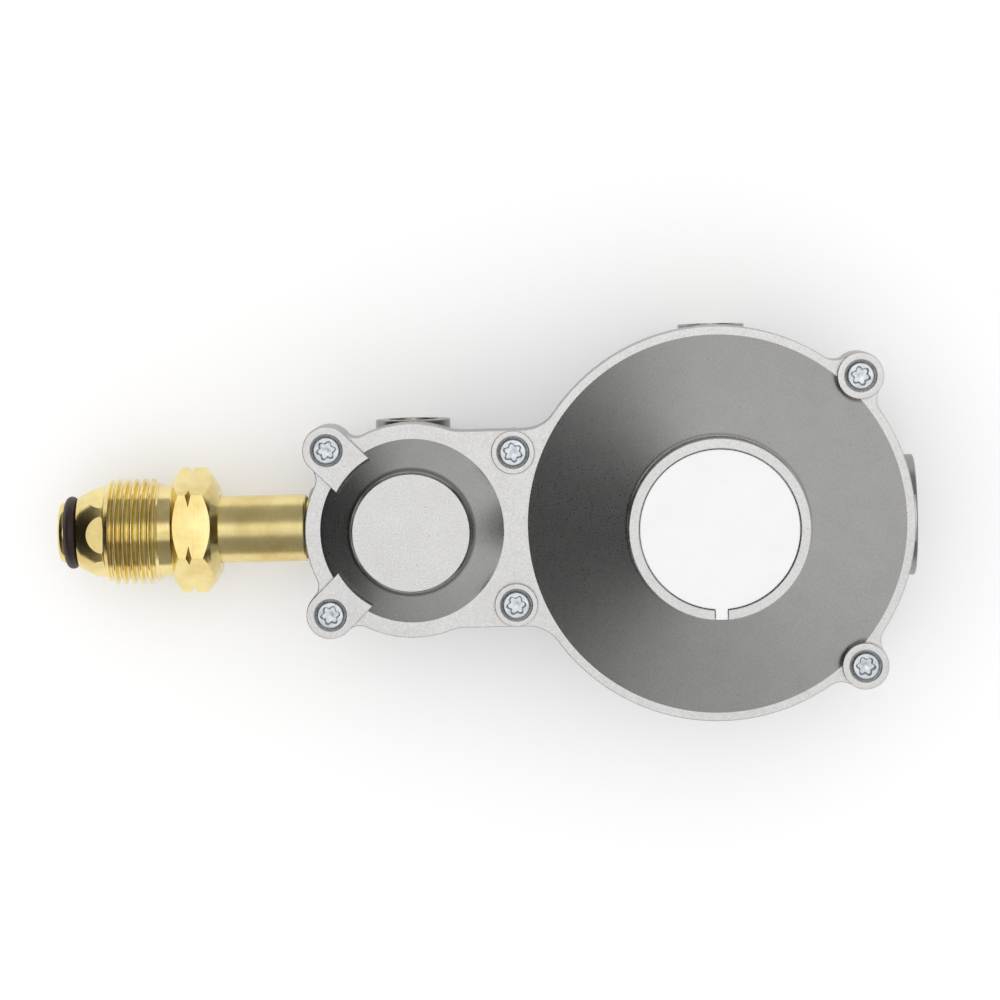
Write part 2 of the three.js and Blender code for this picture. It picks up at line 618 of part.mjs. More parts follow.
function bonnetHollows() {
  const recessTop = SPLIT_Z + DIAPHRAGM_THICK + SEAT_GAP;
  const slope = CONE_RISE / (coneFootR - TOWER_R);
  const under = (r) => flangeTopZ + (coneFootR - r) * slope - BONNET_WALL;
  const chamberR = SECOND.chamberR;
  const dome = spun(
    [[chamberR, SPLIT_Z - PAST], [chamberR, under(chamberR)], [towerBoreR, under(towerBoreR)],
      [towerBoreR, capShelfZ], [capBoreR, capShelfZ], [capBoreR, towerTopZ + PAST]],
    FINE,
  );
  const smallDome = spun(
    [[FIRST.chamberR, SPLIT_Z - PAST], [FIRST.chamberR, flangeTopZ - SMALL_DOME_WALL],
      [FIRST_SPRING_BORE_R, flangeTopZ + FIRST_CONE_RISE - SMALL_DOME_WALL],
      [FIRST_SPRING_BORE_R, firstRoofZ]],
    FINE,
  ).translate([FIRST_X, 0, 0]);
  const recesses = [FIRST, SECOND].map((stage) =>
    rod(stage.chamberR + DIAPHRAGM_LAND + RUN_GAP, SPLIT_Z - PAST, recessTop, FINE)
      .translate([stage.x, 0, 0]),
  );
  const notch = block(
    -NOTCH_WIDTH / 2, NOTCH_WIDTH / 2, -TOWER_R - PAST, -towerBoreR - PAST, capShelfZ, towerTopZ + PAST,
  );
  const vent = block(
    FIRST_X + FIRST.chamberR - PAST, PAST - chamberR, -VENT_WIDTH / 2, VENT_WIDTH / 2,
    SPLIT_Z - PAST, recessTop + VENT_DEPTH,
  );
  const dishes = screwSpots.map((s) =>
    spun(
      [[SCREW_HEAD_R + RUN_GAP, screwSeatZ], [SCREW_HEAD_R + RUN_GAP, bossTopZ - DISH_EDGE],
        [DISH_R, bossTopZ], [DISH_R, bossTopZ + PAST]],
      COARSE,
    ).translate([s.x, s.y, 0]),
  );
  return [dome, smallDome, ...recesses, notch, vent, ...dishes, ...screwSpots.map(screwHole)];
}

// ---------------------------------------------------------------- screws and plugs

function lobePoints(steps) {
  const mean = (SCREW_LOBE_R + SCREW_WAIST_R) / 2;
  const swing = (SCREW_LOBE_R - SCREW_WAIST_R) / 2;
  return [...Array(steps).keys()].map((i) => {
    const a = (2 * Math.PI * i) / steps;
    const r = mean + swing * Math.cos(6 * a);
    return [r * Math.cos(a), r * Math.sin(a)];
  });
}

// A cover screw standing on z = 0, with its shank below.
function coverScrew() {
  const body = spun(
    [[SCREW_SHANK_R - EDGE, -SCREW_LENGTH], [SCREW_SHANK_R, EDGE - SCREW_LENGTH], [SCREW_SHANK_R, 0],
      [SCREW_HEAD_R, 0], [SCREW_HEAD_R, SCREW_HEAD_HEIGHT - SCREW_HEAD_EDGE],
      [SCREW_HEAD_R - SCREW_HEAD_EDGE, SCREW_HEAD_HEIGHT]],
    COARSE,
  );
  const recess = prism(
    lobePoints(2 * COARSE), SCREW_HEAD_HEIGHT - SCREW_RECESS_DEPTH, SCREW_HEAD_HEIGHT + PAST,
  );
  return cut(body, recess);
}

function smallScrew() {
  const body = spun(
    [[SMALL_SHANK_R, -SMALL_SHANK_LENGTH], [SMALL_SHANK_R, 0], [SMALL_HEAD_R, 0],
      [SMALL_HEAD_R, SMALL_HEAD_HEIGHT]],
    COARSE,
  );
  const half = SMALL_SLOT_WIDTH / 2;
  const long = SMALL_HEAD_R + PAST;
  const top = SMALL_HEAD_HEIGHT;
  return cut(body, block(-long, long, -half, half, top - SMALL_SLOT_DEPTH, top + PAST));
}

// A gauge plug with its inner end at y = 0.
function gaugePlug() {
  const body = spun([[PLUG_R - EDGE, 0], [PLUG_R, EDGE], [PLUG_R, PLUG_LENGTH]], MEDIUM, "y");
  const socket = prism(hexPoints(PLUG_SOCKET_AF), -PLUG_SOCKET_DEPTH, PAST).rotate([-90, 0, 0]);
  return cut(body, socket.translate([0, PLUG_LENGTH, 0]));
}

// ---------------------------------------------------------------- brass inlet

const tubeInnerX = jetPlan(FIRST).shoulder;
const jetSeatX = tubeInnerX - FIRST.jetThreadLength - PAST;

function polTailpiece() {
  const edge = arc(ringFrontX, TIP_FACE_R, TIP_R - TIP_FACE_R, 180, 90, 30).map(([x, r]) => [r, x]);
  const front = spun(
    [[TIP_FACE_R, noseTipX], ...edge.slice(1), [GROOVE_R, ringFrontX], [GROOVE_R, noseStartX + PAST]],
    MEDIUM, "x",
  );
  const nose = [0, 0.5, 1].map((t) => {
    const bulge = Math.sin((t * Math.PI) / 2);
    return [NOSE_SMALL_R + (NOSE_BIG_R - NOSE_SMALL_R) * bulge, noseStartX + t * NOSE_LENGTH];
  });
  const facets = hexBar(NOSE_FACET_AF, noseStartX, noseEndX, NOSE_TURN);
  const threadR = INLET_THREAD_R;
  const tube = spun(
    [[TUBE_R, noseEndX - PAST], [TUBE_R, tubeEndX - TUBE_CHAMFER], [TUBE_R - TUBE_CHAMFER, tubeEndX],
      [threadR - EDGE, tubeEndX], [threadR - EDGE, inletFaceX], [threadR, inletFaceX + EDGE],
      [threadR, tubeInnerX - EDGE], [threadR - EDGE, tubeInnerX]],
    MEDIUM, "x",
  );
  const jetHoleR = FIRST.jetThreadR + THREAD_GAP;
  const bore = spun(
    [[BRASS_BORE_R, noseTipX - PAST], [BRASS_BORE_R, jetSeatX], [jetHoleR, jetSeatX],
      [jetHoleR, tubeInnerX + PAST]],
    MEDIUM, "x",
  );
  return cut(join(front, spun(nose, MEDIUM, "x").intersect(facets), tube), bore);
}

// The thread is drawn as rings at its pitch, each with a narrow flat crest.
function polNut() {
  const crests = [...Array(THREAD_TURNS).keys()].flatMap((i) => {
    const x = threadStartX + i * THREAD_PITCH;
    const crest = i === 0 ? THREAD_MAJOR_R - THREAD_START_DROP : THREAD_MAJOR_R;
    return [
      [THREAD_MINOR_R, x + 0.05 * THREAD_PITCH],
      [crest, x + 0.42 * THREAD_PITCH],
      [crest, x + 0.58 * THREAD_PITCH],
    ];
  });
  const mid = hexStartX + HEX_GROOVE_PLACE;
  const corner = HEX_AF / Math.sqrt(3);
  const groove = HEX_GROOVE_WIDTH / 2;
  const bar = spun(
    [[THREAD_MINOR_R, nutStartX], ...crests, [RELIEF_R, threadEndX], [RELIEF_R, hexStartX],
      [HEX_FRONT.r, hexStartX], [corner, hexStartX + HEX_FRONT.length], [corner, mid - groove],
      [corner - HEX_GROOVE_DEPTH, mid], [corner, mid + groove], [corner, hexEndX - HEX_BACK.length],
      [HEX_BACK.kneeR, hexEndX - HEX_BACK.kneeLength], [HEX_BACK.r, hexEndX]],
    MEDIUM, "x",
  );
  const hex = hexBar(HEX_AF, nutStartX - PAST, hexEndX + PAST, HEX_TURN);
  return cut(bar.intersect(hex), rod(TUBE_R + RUN_GAP, nutStartX - PAST, hexEndX + PAST, MEDIUM, "x"));
}

function oRing() {
  const r = GROOVE_R + SEAT_GAP + O_RING_R;
  return solidOf(new THREE.TorusGeometry(r, O_RING_R, 8, MEDIUM)).rotate([0, 90, 0]);
}

// A gauze cup with its closed end towards the valve, pierced once on its axis.
function inletScreen() {
  const inner = SCREEN_R - SCREEN_WALL;
  const floor = SCREEN_LENGTH - SCREEN_WALL;
  return ring(
    [[inner, 0], [SCREEN_R, 0], [SCREEN_R, SCREEN_LENGTH], [SCREEN_HOLE_R, SCREEN_LENGTH],
      [SCREEN_HOLE_R, floor], [inner, floor]],
    COARSE, "x",
  );
}

// ---------------------------------------------------------------- cap and adjuster

function closingCap() {
  const r = capBoreR - CAP_GAP;
  const low = capShelfZ + SEAT_GAP;
  const shell = spun([[r, low], [r, capTopZ - CAP_EDGE], [r - CAP_EDGE, capTopZ]], FINE);
  const hollow = rod(r - CAP_SKIRT_WALL, low - PAST, capTopZ - CAP_THICK, FINE);
  const half = NOTCH_WIDTH / 2 - CAP_GAP;
  const key = block(-half, half, CAP_GAP - TOWER_R, PAST - r, low, capTopZ);
  return join(cut(shell, hollow), key);
}

function adjustingScrew() {
  const r = towerBoreR - THREAD_GAP;
  const bottom = adjusterTopZ - ADJUSTER_HEIGHT;
  const disc = spun(
    [[r - EDGE, bottom], [r, bottom + EDGE], [r, adjusterTopZ - EDGE], [r - EDGE, adjusterTopZ]], MEDIUM,
  );
  const well = rod(r - ADJUSTER_RIM, adjusterTopZ - ADJUSTER_WELL_DEPTH, adjusterTopZ + PAST, MEDIUM);
  const half = ADJUSTER_BAR_WIDTH / 2;
  const long = r - ADJUSTER_RIM / 2;
  const bar = block(-long, long, -half, half, bottom + EDGE, adjusterTopZ - EDGE);
  return cut(join(cut(disc, well), bar), rod(BREATHER_R, bottom - PAST, adjusterTopZ + PAST, COARSE));
}

function springSeat() {
  const r = towerBoreR - SPRING_SEAT_ROOM;
  const low = springSeatTopZ - SPRING_SEAT_THICK;
  return ring(
    [[SPRING_SEAT_HOLE_R, low], [r, low], [r, springSeatTopZ], [SPRING_SEAT_HOLE_R, springSeatTopZ]],
    MEDIUM,
  );
}

// The centre line of a coil spring.
class Helix extends THREE.Curve {
  constructor(r, turns, low, high) {
    super();
    Object.assign(this, { r, turns, low, high });
  }
  getPoint(t) {
    const a = 2 * Math.PI * this.turns * t;
    const z = this.low + (this.high - this.low) * t;
    return new THREE.Vector3(this.r * Math.cos(a), this.r * Math.sin(a), z);
  }
}

// A compression spring from z = 0 up, one unbroken helix of wire with 8 steps a turn and 5 sides.
function spring(r, wire, turns, height) {
  const half = wire / 2;
  const curve = new Helix(r - half, turns, half, height - half);
  const section = new THREE.Shape(arc(0, 0, half, 0, 288, 72).map(([x, y]) => new THREE.Vector2(x, y)));
  const options = { steps: 8 * turns, extrudePath: curve, bevelEnabled: false };
  return solidOf(new THREE.ExtrudeGeometry(section, options));
}

// ---------------------------------------------------------------- one stage's works

// Heights at the diaphragm's centre, with no gas on.
function centrePlan(stage) {
  const rubberTop = SPLIT_Z + DIAPHRAGM_THICK - stage.drop;
  const plateBottom = rubberTop + SEAT_GAP;
  return { rubberTop, plateBottom, plateTop: plateBottom + PLATE_THICK };
}

// The lever's pin lies below the valve, and its arm reaches the stage's axis. At rest the arm hangs by
// half the stroke, and the plunger stands open by half its travel.
function leverPlan(stage) {
  const pinX = stage.x - stage.arm;
  const pinZ = PORT_Z - stage.finger;
  const travel = (stage.stroke * stage.finger) / stage.arm;
  return { pinX, pinZ, travel, seatZ: stage.floor + stage.pad, forkZ: pinZ - stage.stroke / 2 };
}

// The jet's mouth is where the seat disc's face stands with the valve shut.
function jetPlan(stage) {
  const { pinX, travel } = leverPlan(stage);
  const mouth = pinX - travel / 2 - PLUNGER_FRONT - SEAT_DISC_PROUD - SEAT_GAP;
  const headFront = mouth - JET_NOSE_LENGTH;
  return { mouth, headFront, shoulder: headFront - JET_HEAD_LENGTH };
}

function diaphragm(stage) {
  const { rubberTop } = centrePlan(stage);
  const t = DIAPHRAGM_THICK;
  const rimR = stage.chamberR + DIAPHRAGM_LAND;
  const flexR = stage.chamberR - DIAPHRAGM_HINGE;
  const flatR = stage.chamberR - stage.fold + PLATE_THICK;
  const low = rubberTop - t;
  const hole = STEM_R + RUN_GAP;
  return ring(
    [[hole, low], [flatR, low], [flexR, SPLIT_Z], [rimR, SPLIT_Z], [rimR, SPLIT_Z + t],
      [flexR - t / 2, SPLIT_Z + t], [flatR - t / 2, rubberTop], [hole, rubberTop]],
    FINE,
  );
}

function diaphragmPlate(stage) {
  const { plateBottom, plateTop } = centrePlan(stage);
  const hole = STEM_R + RUN_GAP;
  const r = stage.chamberR - stage.fold;
  const inner = r - PLATE_THICK;
  return ring(
    [[hole, plateBottom], [inner, plateBottom], [r, plateTop], [r, plateTop + PLATE_LIP],
      [inner, plateTop + PLATE_LIP], [inner, plateTop], [hole, plateTop]],
    MEDIUM,
  );
}

function pusherPost(stage, stemTop) {
  const { rubberTop } = centrePlan(stage);
  const { forkZ } = leverPlan(stage);
  const seat = rubberTop - DIAPHRAGM_THICK - SEAT_GAP;
  const waistLow = forkZ - WAIST_HEIGHT / 2;
  const waistHigh = forkZ + WAIST_HEIGHT / 2;
  return spun(
    [[POST_FOOT_R, waistLow - POST_FOOT_THICK], [POST_FOOT_R, waistLow], [WAIST_R, waistLow],
      [WAIST_R, waistHigh], [POST_R, waistHigh], [POST_R, seat - 2 * POST_COLLAR],
      [stage.postTopR, seat - POST_COLLAR], [stage.postTopR, seat], [STEM_R, seat], [STEM_R, stemTop]],
    COARSE,
  );
}

function stemNut() {
  const hex = prism(hexPoints(STEM_NUT_AF), 0, STEM_NUT_HEIGHT);
  return cut(hex, rod(STEM_R + STEM_NUT_GAP, -PAST, STEM_NUT_HEIGHT + PAST, COARSE));
}

// Drawn with the arm level and the pin at the origin; placed with the arm hanging.
function lever(stage) {
  const half = LEVER_THICK / 2;
  const hub = rod(HUB_R, -LEVER_HALF, LEVER_HALF, COARSE, "y");
  const arm = block(0, stage.arm + FORK_PAST, -LEVER_HALF, LEVER_HALF, -half, half);
  const slot = block(
    stage.arm - WAIST_R - FORK_ROOM, stage.arm + FORK_PAST + PAST, -WAIST_R - RUN_GAP, WAIST_R + RUN_GAP,
    -half - PAST, half + PAST,
  );
  const shank = block(-half, half, -FINGER_HALF, FINGER_HALF, 0, stage.finger);
  const tip = rod(FINGER_R, -FINGER_HALF, FINGER_HALF, COARSE, "y").translate([0, 0, stage.finger]);
  const bore = rod(PIN_R + RUN_GAP, -LEVER_HALF - PAST, LEVER_HALF + PAST, COARSE, "y");
  return cut(join(hub, cut(arm, slot), shank, tip), bore);
}

// Drawn about the finger's slot, with the seat end towards -X.
function plunger() {
  const body = spun(
    [[PLUNGER_R, -PLUNGER_FRONT], [PLUNGER_R, PLUNGER_BACK - EDGE], [PLUNGER_R - EDGE, PLUNGER_BACK]],
    COARSE, "x",
  );
  const half = PLUNGER_SLOT / 2;
  const side = FINGER_HALF + SLOT_ROOM;
  const slot = block(-half, half, -side, side, -PLUNGER_R - PAST, FINGER_R + SLOT_TOP_ROOM);
  const bottom = SEAT_DISC_THICK - SEAT_DISC_PROUD - PLUNGER_FRONT + SEAT_GAP;
  const pocket = rod(SEAT_DISC_R + SEAT_GAP, -PLUNGER_FRONT - PAST, bottom, COARSE, "x");
  return cut(body, slot, pocket);
}

function seatDisc() {
  const front = -PLUNGER_FRONT - SEAT_DISC_PROUD;
  return rod(SEAT_DISC_R, front, front + SEAT_DISC_THICK, COARSE, "x");
}

function jet(stage) {
  const { mouth, headFront, shoulder } = jetPlan(stage);
  const end = shoulder - stage.jetThreadLength;
  const lip = stage.jetR + JET_LIP;
  const rise = JET_NOSE_R - lip;
  const nose = spun(
    [[JET_NOSE_R, headFront - SEAT_GAP], [JET_NOSE_R, mouth - rise], [lip, mouth]], COARSE, "x",
  );
  const head = hexBar(JET_HEAD_AF, shoulder + SEAT_GAP, headFront);
  const thread = rod(stage.jetThreadR, end, shoulder + PAST, COARSE, "x");
  return cut(join(nose, head, thread), rod(stage.jetR, end - PAST, mouth + PAST, COARSE, "x"));
}

// A frame screwed to the floor: two cheeks hold the pin, two walls guide the plunger.
function valveCarrier(stage) {
  const { pinZ, seatZ } = leverPlan(stage);
  const base = seatZ + SEAT_GAP;
  const footTop = base + FOOT_THICK;
  const low = PORT_Z - PLUNGER_R - CARRIER_UNDER;
  const top = PORT_Z + PLUNGER_R + CARRIER_OVER;
  const sides = bothSides.flatMap((side) => {
    const [c0, c1] = span(side, CHEEK_IN, CHEEK_OUT);
    const [f0, f1] = span(side, CHEEK_IN, FOOT_OUT);
    const [w0, w1] = span(side, CARRIER_HALF - CARRIER_WALL, CARRIER_HALF);
    return [
      block(-CARRIER_HALF, CARRIER_HALF, c0, c1, base, top),
      block(-CARRIER_HALF, CARRIER_HALF, f0, f1, base, footTop),
      block(w0, w1, -CHEEK_OUT, CHEEK_OUT, low, top),
    ];
  });
  const reach = CARRIER_HALF + PAST;
  const guide = rod(PLUNGER_R + RUN_GAP, -reach, reach, COARSE, "x").translate([0, 0, PORT_Z]);
  const pinHole = rod(PIN_R + SEAT_GAP, -CHEEK_OUT - PAST, CHEEK_OUT + PAST, COARSE, "y");
  const screwHoles = bothSides.map((side) =>
    rod(SMALL_SHANK_R + THREAD_GAP, base - PAST, footTop + PAST, COARSE)
      .translate([0, side * CARRIER_SCREW_Y, 0]),
  );
  return cut(join(...sides), guide, pinHole.translate([0, 0, pinZ]), ...screwHoles);
}

// Everything in a stage but its post's nut and springs.
function placeStage(stage, stemTop) {
  const { pinX, pinZ, travel, seatZ } = leverPlan(stage);
  const put = (part, solid, look, x, y, z) => place(stage.name + "_" + part, solid, look, x, y, z);
  const hang = THREE.MathUtils.radToDeg(Math.asin(stage.stroke / 2 / stage.arm));
  const slotX = pinX + travel / 2;
  put("diaphragm", diaphragm(stage), RUBBER, stage.x);
  put("diaphragm_plate", diaphragmPlate(stage), STEEL, stage.x);
  put("pusher_post", pusherPost(stage, stemTop), BRASS, stage.x);
  put("lever", lever(stage).rotate([0, hang, 0]), STEEL, pinX, 0, pinZ);
  put("lever_pin", rod(PIN_R, -CHEEK_OUT, CHEEK_OUT, COARSE, "y"), STEEL, pinX, 0, pinZ);
  put("valve_plunger", plunger(), BRASS, slotX, 0, PORT_Z);
  put("valve_seat_disc", seatDisc(), RUBBER, slotX, 0, PORT_Z);
  put("orifice", jet(stage), BRASS, 0, 0, PORT_Z);
  put("valve_carrier", valveCarrier(stage), CAST, pinX);
  const headZ = seatZ + FOOT_THICK + 2 * SEAT_GAP;
  bothSides.forEach((side, i) => {
    put("carrier_screw_" + (i + 1), smallScrew(), ZINC, pinX, side * CARRIER_SCREW_Y, headZ);
  });
}

// ---------------------------------------------------------------- assembly

place("body_casting", bodyCasting(), CAST);
place("bonnet_casting", bonnetCasting(), CAST);
screwSpots.forEach((spot, i) => {
  place("cover_screw_" + (i + 1), coverScrew(), ZINC, spot.x, spot.y, screwSeatZ + SEAT_GAP);
});
gaugePorts.forEach(({ stage, face }) => {
  place("gauge_plug_" + stage.name, gaugePlug(), BRASS, stage.x, face - PLUG_SINK - PLUG_LENGTH, gaugeZ);
});

place("pol_tailpiece", polTailpiece(), BRASS, 0, 0, PORT_Z);
place("pol_nut", polNut(), BRASS, 0, 0, PORT_Z);
place("pol_o_ring", oRing(), RUBBER, ringFrontX + GROOVE_WIDTH / 2, 0, PORT_Z);
place("inlet_screen", inletScreen(), STEEL, jetSeatX - SCREEN_LENGTH, 0, PORT_Z);

place("closing_cap", closingCap(), WHITE_PLASTIC);
place("adjusting_screw", adjustingScrew(), BLACK_PLASTIC);
place("adjuster_spring_seat", springSeat(), STEEL);

// The first stage's plate is clamped by the post's nut, under a spring that the roof holds down.
const firstSeatZ = centrePlan(FIRST).plateTop + SEAT_GAP;
const firstSpring = spring(
  FIRST.springR, FIRST.springWire, FIRST.springTurns, firstRoofZ - SEAT_GAP - firstSeatZ,
);
placeStage(FIRST, firstSeatZ + STEM_NUT_HEIGHT + STEM_END);
place("first_stage_post_nut", stemNut(), STEEL, FIRST_X, 0, firstSeatZ);
place("first_stage_spring", firstSpring, SPRING_STEEL, FIRST_X, 0, firstSeatZ);

// The second stage's plate is held down by the relief spring alone, and by the main spring round it.
const secondSeatZ = centrePlan(SECOND).plateTop + SEAT_GAP;
const reliefNutZ = secondSeatZ + RELIEF_SPRING.height + SEAT_GAP;
const mainSpringTopZ = springSeatTopZ - SPRING_SEAT_THICK - SEAT_GAP;
const mainSpring = spring(
  SECOND.springR, SECOND.springWire, SECOND.springTurns, mainSpringTopZ - secondSeatZ,
);
const reliefSpring = spring(RELIEF_SPRING.r, RELIEF_SPRING.wire, RELIEF_SPRING.turns, RELIEF_SPRING.height);
placeStage(SECOND, reliefNutZ + STEM_NUT_HEIGHT + STEM_END);
place("second_stage_relief_nut", stemNut(), STEEL, 0, 0, reliefNutZ);
place("second_stage_relief_spring", reliefSpring, SPRING_STEEL, 0, 0, secondSeatZ);
place("second_stage_spring", mainSpring, SPRING_STEEL, 0, 0, secondSeatZ);

export default root;
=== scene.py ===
"""The looks of a two-stage gas regulator with a brass inlet nut, built around its packed CAD model.

Metres, in the CAD model's frame: +Z is up, out of the bonnet, and +X runs from the inlet to the outlet.
"""

import math
from functools import partial

import bmesh
import bpy
from bpy.props import FloatProperty, FloatVectorProperty, IntProperty, PointerProperty
from mathutils import Matrix, Vector


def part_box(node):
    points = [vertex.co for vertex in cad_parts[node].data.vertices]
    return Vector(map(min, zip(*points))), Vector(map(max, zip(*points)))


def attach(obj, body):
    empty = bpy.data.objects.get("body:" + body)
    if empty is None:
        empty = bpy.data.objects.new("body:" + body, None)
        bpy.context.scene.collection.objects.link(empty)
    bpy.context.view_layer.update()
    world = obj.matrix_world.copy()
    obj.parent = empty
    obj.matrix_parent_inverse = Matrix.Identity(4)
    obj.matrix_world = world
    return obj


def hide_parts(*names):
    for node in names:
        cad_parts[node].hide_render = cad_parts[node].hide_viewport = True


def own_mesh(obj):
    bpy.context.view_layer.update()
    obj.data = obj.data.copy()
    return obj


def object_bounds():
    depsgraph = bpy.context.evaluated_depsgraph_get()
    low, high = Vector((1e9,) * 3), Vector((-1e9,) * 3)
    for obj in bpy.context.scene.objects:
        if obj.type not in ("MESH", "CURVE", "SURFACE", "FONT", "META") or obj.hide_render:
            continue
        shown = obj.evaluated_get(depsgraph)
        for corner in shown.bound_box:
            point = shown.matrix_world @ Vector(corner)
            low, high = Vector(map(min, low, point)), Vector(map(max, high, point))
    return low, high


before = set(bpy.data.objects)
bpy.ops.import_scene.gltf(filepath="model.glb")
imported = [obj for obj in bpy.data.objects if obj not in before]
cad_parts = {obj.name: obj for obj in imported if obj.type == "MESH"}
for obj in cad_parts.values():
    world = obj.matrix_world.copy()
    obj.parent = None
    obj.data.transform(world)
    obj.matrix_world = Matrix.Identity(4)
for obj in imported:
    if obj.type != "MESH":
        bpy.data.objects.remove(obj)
CAD_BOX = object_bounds()

bl_info = {
    "name": "Gas regulator looks",
    "version": (1, 0, 0),
    "blender": (4, 5, 0),
    "location": "3D View > Sidebar > Regulator",
    "description": "Castings, brass inlet, screws, cap and works of a two-stage gas regulator",
    "category": "Object",
}

MM = 0.001

# ---------------------------------------------------------------- places taken from the CAD model


def middle(node):
    """The middle of a CAD node's box."""
    low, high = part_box(node)
    return (low + high) / 2


BODY_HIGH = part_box("body_casting")[1]
BONNET_LOW, BONNET_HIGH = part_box("bonnet_casting")
TAIL_LOW, TAIL_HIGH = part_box("pol_tailpiece")
NUT_LOW, NUT_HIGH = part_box("pol_nut")
RING_LOW, RING_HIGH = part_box("pol_o_ring")
CAP_LOW, CAP_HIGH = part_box("closing_cap")
ADJUSTER_LOW, ADJUSTER_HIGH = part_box("adjusting_screw")
SCREW_NODES = [f"cover_screw_{i}" for i in range(1, 7)]
SCREW_SPOTS = [middle(node) for node in SCREW_NODES]
STAGES = ("first_stage", "second_stage")

FIRST_X = middle("first_stage_diaphragm").x
PORT_Z = middle("pol_tailpiece").z
PORT = (0, 0, PORT_Z)
GAUGE_Z = middle("gauge_plug_first_stage").z
SECOND_FLANGE_R = BONNET_HIGH.y
SPLIT_Z = BONNET_LOW.z
TOWER_TOP_Z = BONNET_HIGH.z
OUTLET_FACE_X = BODY_HIGH.x
SCREW_HEAD_HEIGHT = 2.2 * MM
SEAT_GAP = 0.05 * MM  # what a seated piece stands clear by
SCREW_SEAT_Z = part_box(SCREW_NODES[0])[1].z - (SCREW_HEAD_HEIGHT + SEAT_GAP)
SPRING_BORE_R = ADJUSTER_HIGH.x + 0.15 * MM

# ---------------------------------------------------------------- sizes that the boxes don't give

# Castings, in plan.
FIRST_FLANGE_R = 22.35 * MM
NECK_HALF = FIRST_FLANGE_R - 1.85 * MM
NECK_FILLET_R = 7.5 * MM
SHOULDER_FILLET_R = 8 * MM
INLET_LUG_R = 5.05 * MM
INLET_LUG_FILLET_R = 3.2 * MM
OUTLET_LUG_R = 4.95 * MM
OUTLET_LUG_FILLET_R = 4 * MM
NECK_BOSS_R = 4.6 * MM
LUG_RADII = 2 * (INLET_LUG_R,) + 2 * (NECK_BOSS_R,) + 2 * (OUTLET_LUG_R,)
BOSS_INSET = 0.1 * MM
ARM_END_R = 17.6 * MM
ARC_STEP = 3  # degrees
FILLET_STEP = 7.5
CORNER_STEP = 9
ROUNDING_STEPS = 9  # points round a slab's edge

# Castings, upright.
FLANGE_TOP_Z = SPLIT_Z + 4 * MM
BOSS_TOP_Z = FLANGE_TOP_Z + 1.6 * MM
CONE_HEAD_Z = FLANGE_TOP_Z + 7 * MM
FIRST_HEAD_Z = FLANGE_TOP_Z + 4 * MM
DISC_TOP_Z = FLANGE_TOP_Z + 7 * MM
FIRST_ROOF_Z = DISC_TOP_Z - 2.5 * MM
CAP_SHELF_Z = TOWER_TOP_Z - 3 * MM
SKIRT_Z = SPLIT_Z - 7 * MM
LUG_BOTTOM_Z = SKIRT_Z - 4 * MM
CONE_FOOT_R = SECOND_FLANGE_R - 1.8 * MM
TOWER_R = 18.65 * MM
CAP_BORE_R = CAP_HIGH.x + 0.15 * MM
FIRST_CONE_R = FIRST_FLANGE_R - 3.2 * MM
FIRST_HEAD_R = 13 * MM
DISC_R = 12.2 * MM
SECOND_CHAMBER_R = SECOND_FLANGE_R - 6.7 * MM
FIRST_CHAMBER_R = FIRST_FLANGE_R - 5.85 * MM
FIRST_SPRING_BORE_R = 10.6 * MM
BONNET_WALL = 3.2 * MM
RECESS_TOP_Z = SPLIT_Z + 0.85 * MM
SEAL_LAND = 4.5 * MM
NOTCH_WIDTH = 2.9 * MM
SCREW_HOLE_R = 2.05 * MM
SCREW_HOLE_BOTTOM_Z = SCREW_SEAT_Z - 13 * MM
SEAM_EDGE = 0.25 * MM
DISH_WALL_R = 2.8 * MM
VENT_RISE = 1.2 * MM
CAP_BORE_LEAD = 0.2 * MM
FIRST_DOME_WALL = 2 * MM
# faces steeper than these slopes count as walls, which the castings' material darkens as painted shade
BONNET_WALL_SLOPE = 0.5  # faces steeper than this count as walls
BODY_WALL_SLOPE = 0.93
PAST = 1 * MM  # how far a cut or a joint reaches past its surface

# Body below the flange.
SKIRT_EDGE = 0.9 * MM
LUG_EDGE = 0.8 * MM
WEB_EDGE = 2.5 * MM
BOWL_FOOT_EDGE = 0.8 * MM
BOWL_KNEE_EDGE = 1.2 * MM
BOSS_FACE_EDGE = 0.35 * MM
INLET_FACE_EDGE = 2 * MM
SECOND_FLOOR_R = 22 * MM
SECOND_FLOOR_Z = 3 * MM
FIRST_FLOOR_Z = 4 * MM
WEB_HALF = 9 * MM
WEB_BOTTOM_Z = 3 * MM
INLET_BOSS_R = 8.9 * MM
INLET_FACE_X = FIRST_X - 22.3 * MM
INLET_HOLE_R = 6.65 * MM
OUTLET_BOSS_R = 12.8 * MM
OUTLET_DEPTH = 15 * MM
OUTLET_PITCH = 1.411 * MM
OUTLET_ROOT_R = 8.05 * MM
OUTLET_CREST_R = 6.95 * MM
OUTLET_TAPER = 1 / 32
OUTLET_MOUTH_R = 8.9 * MM
OUTLET_MOUTH_FLOOR_R = 7.5 * MM
OUTLET_MOUTH_DEPTH = 1.2 * MM
OUTLET_PASSAGE_R = 6 * MM
PASSAGE_R = 3 * MM
JET_HOLE_R = 4.65 * MM
JET_HOLE_END_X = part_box("second_stage_orifice")[0].x - 1 * MM
GAUGE_PORTS = (
    ("gauge_plug_first_stage", FIRST_X, FIRST_FLANGE_R + 0.15 * MM, 7.9 * MM),
    ("gauge_plug_second_stage", 0.0, SECOND_FLANGE_R, 7 * MM),
)
PLUG_R = 5.1 * MM
PLUG_GAP = 0.15 * MM
GAUGE_PASSAGE_R = 2 * MM
GAUGE_PASSAGE_LENGTH = 8 * MM
CARRIER_SCREW_R = 1.4 * MM
CARRIER_SCREW_DEPTH = 3 * MM
PAD_INNER_Y = 4.2 * MM
PAD_MARGIN = 0.4 * MM

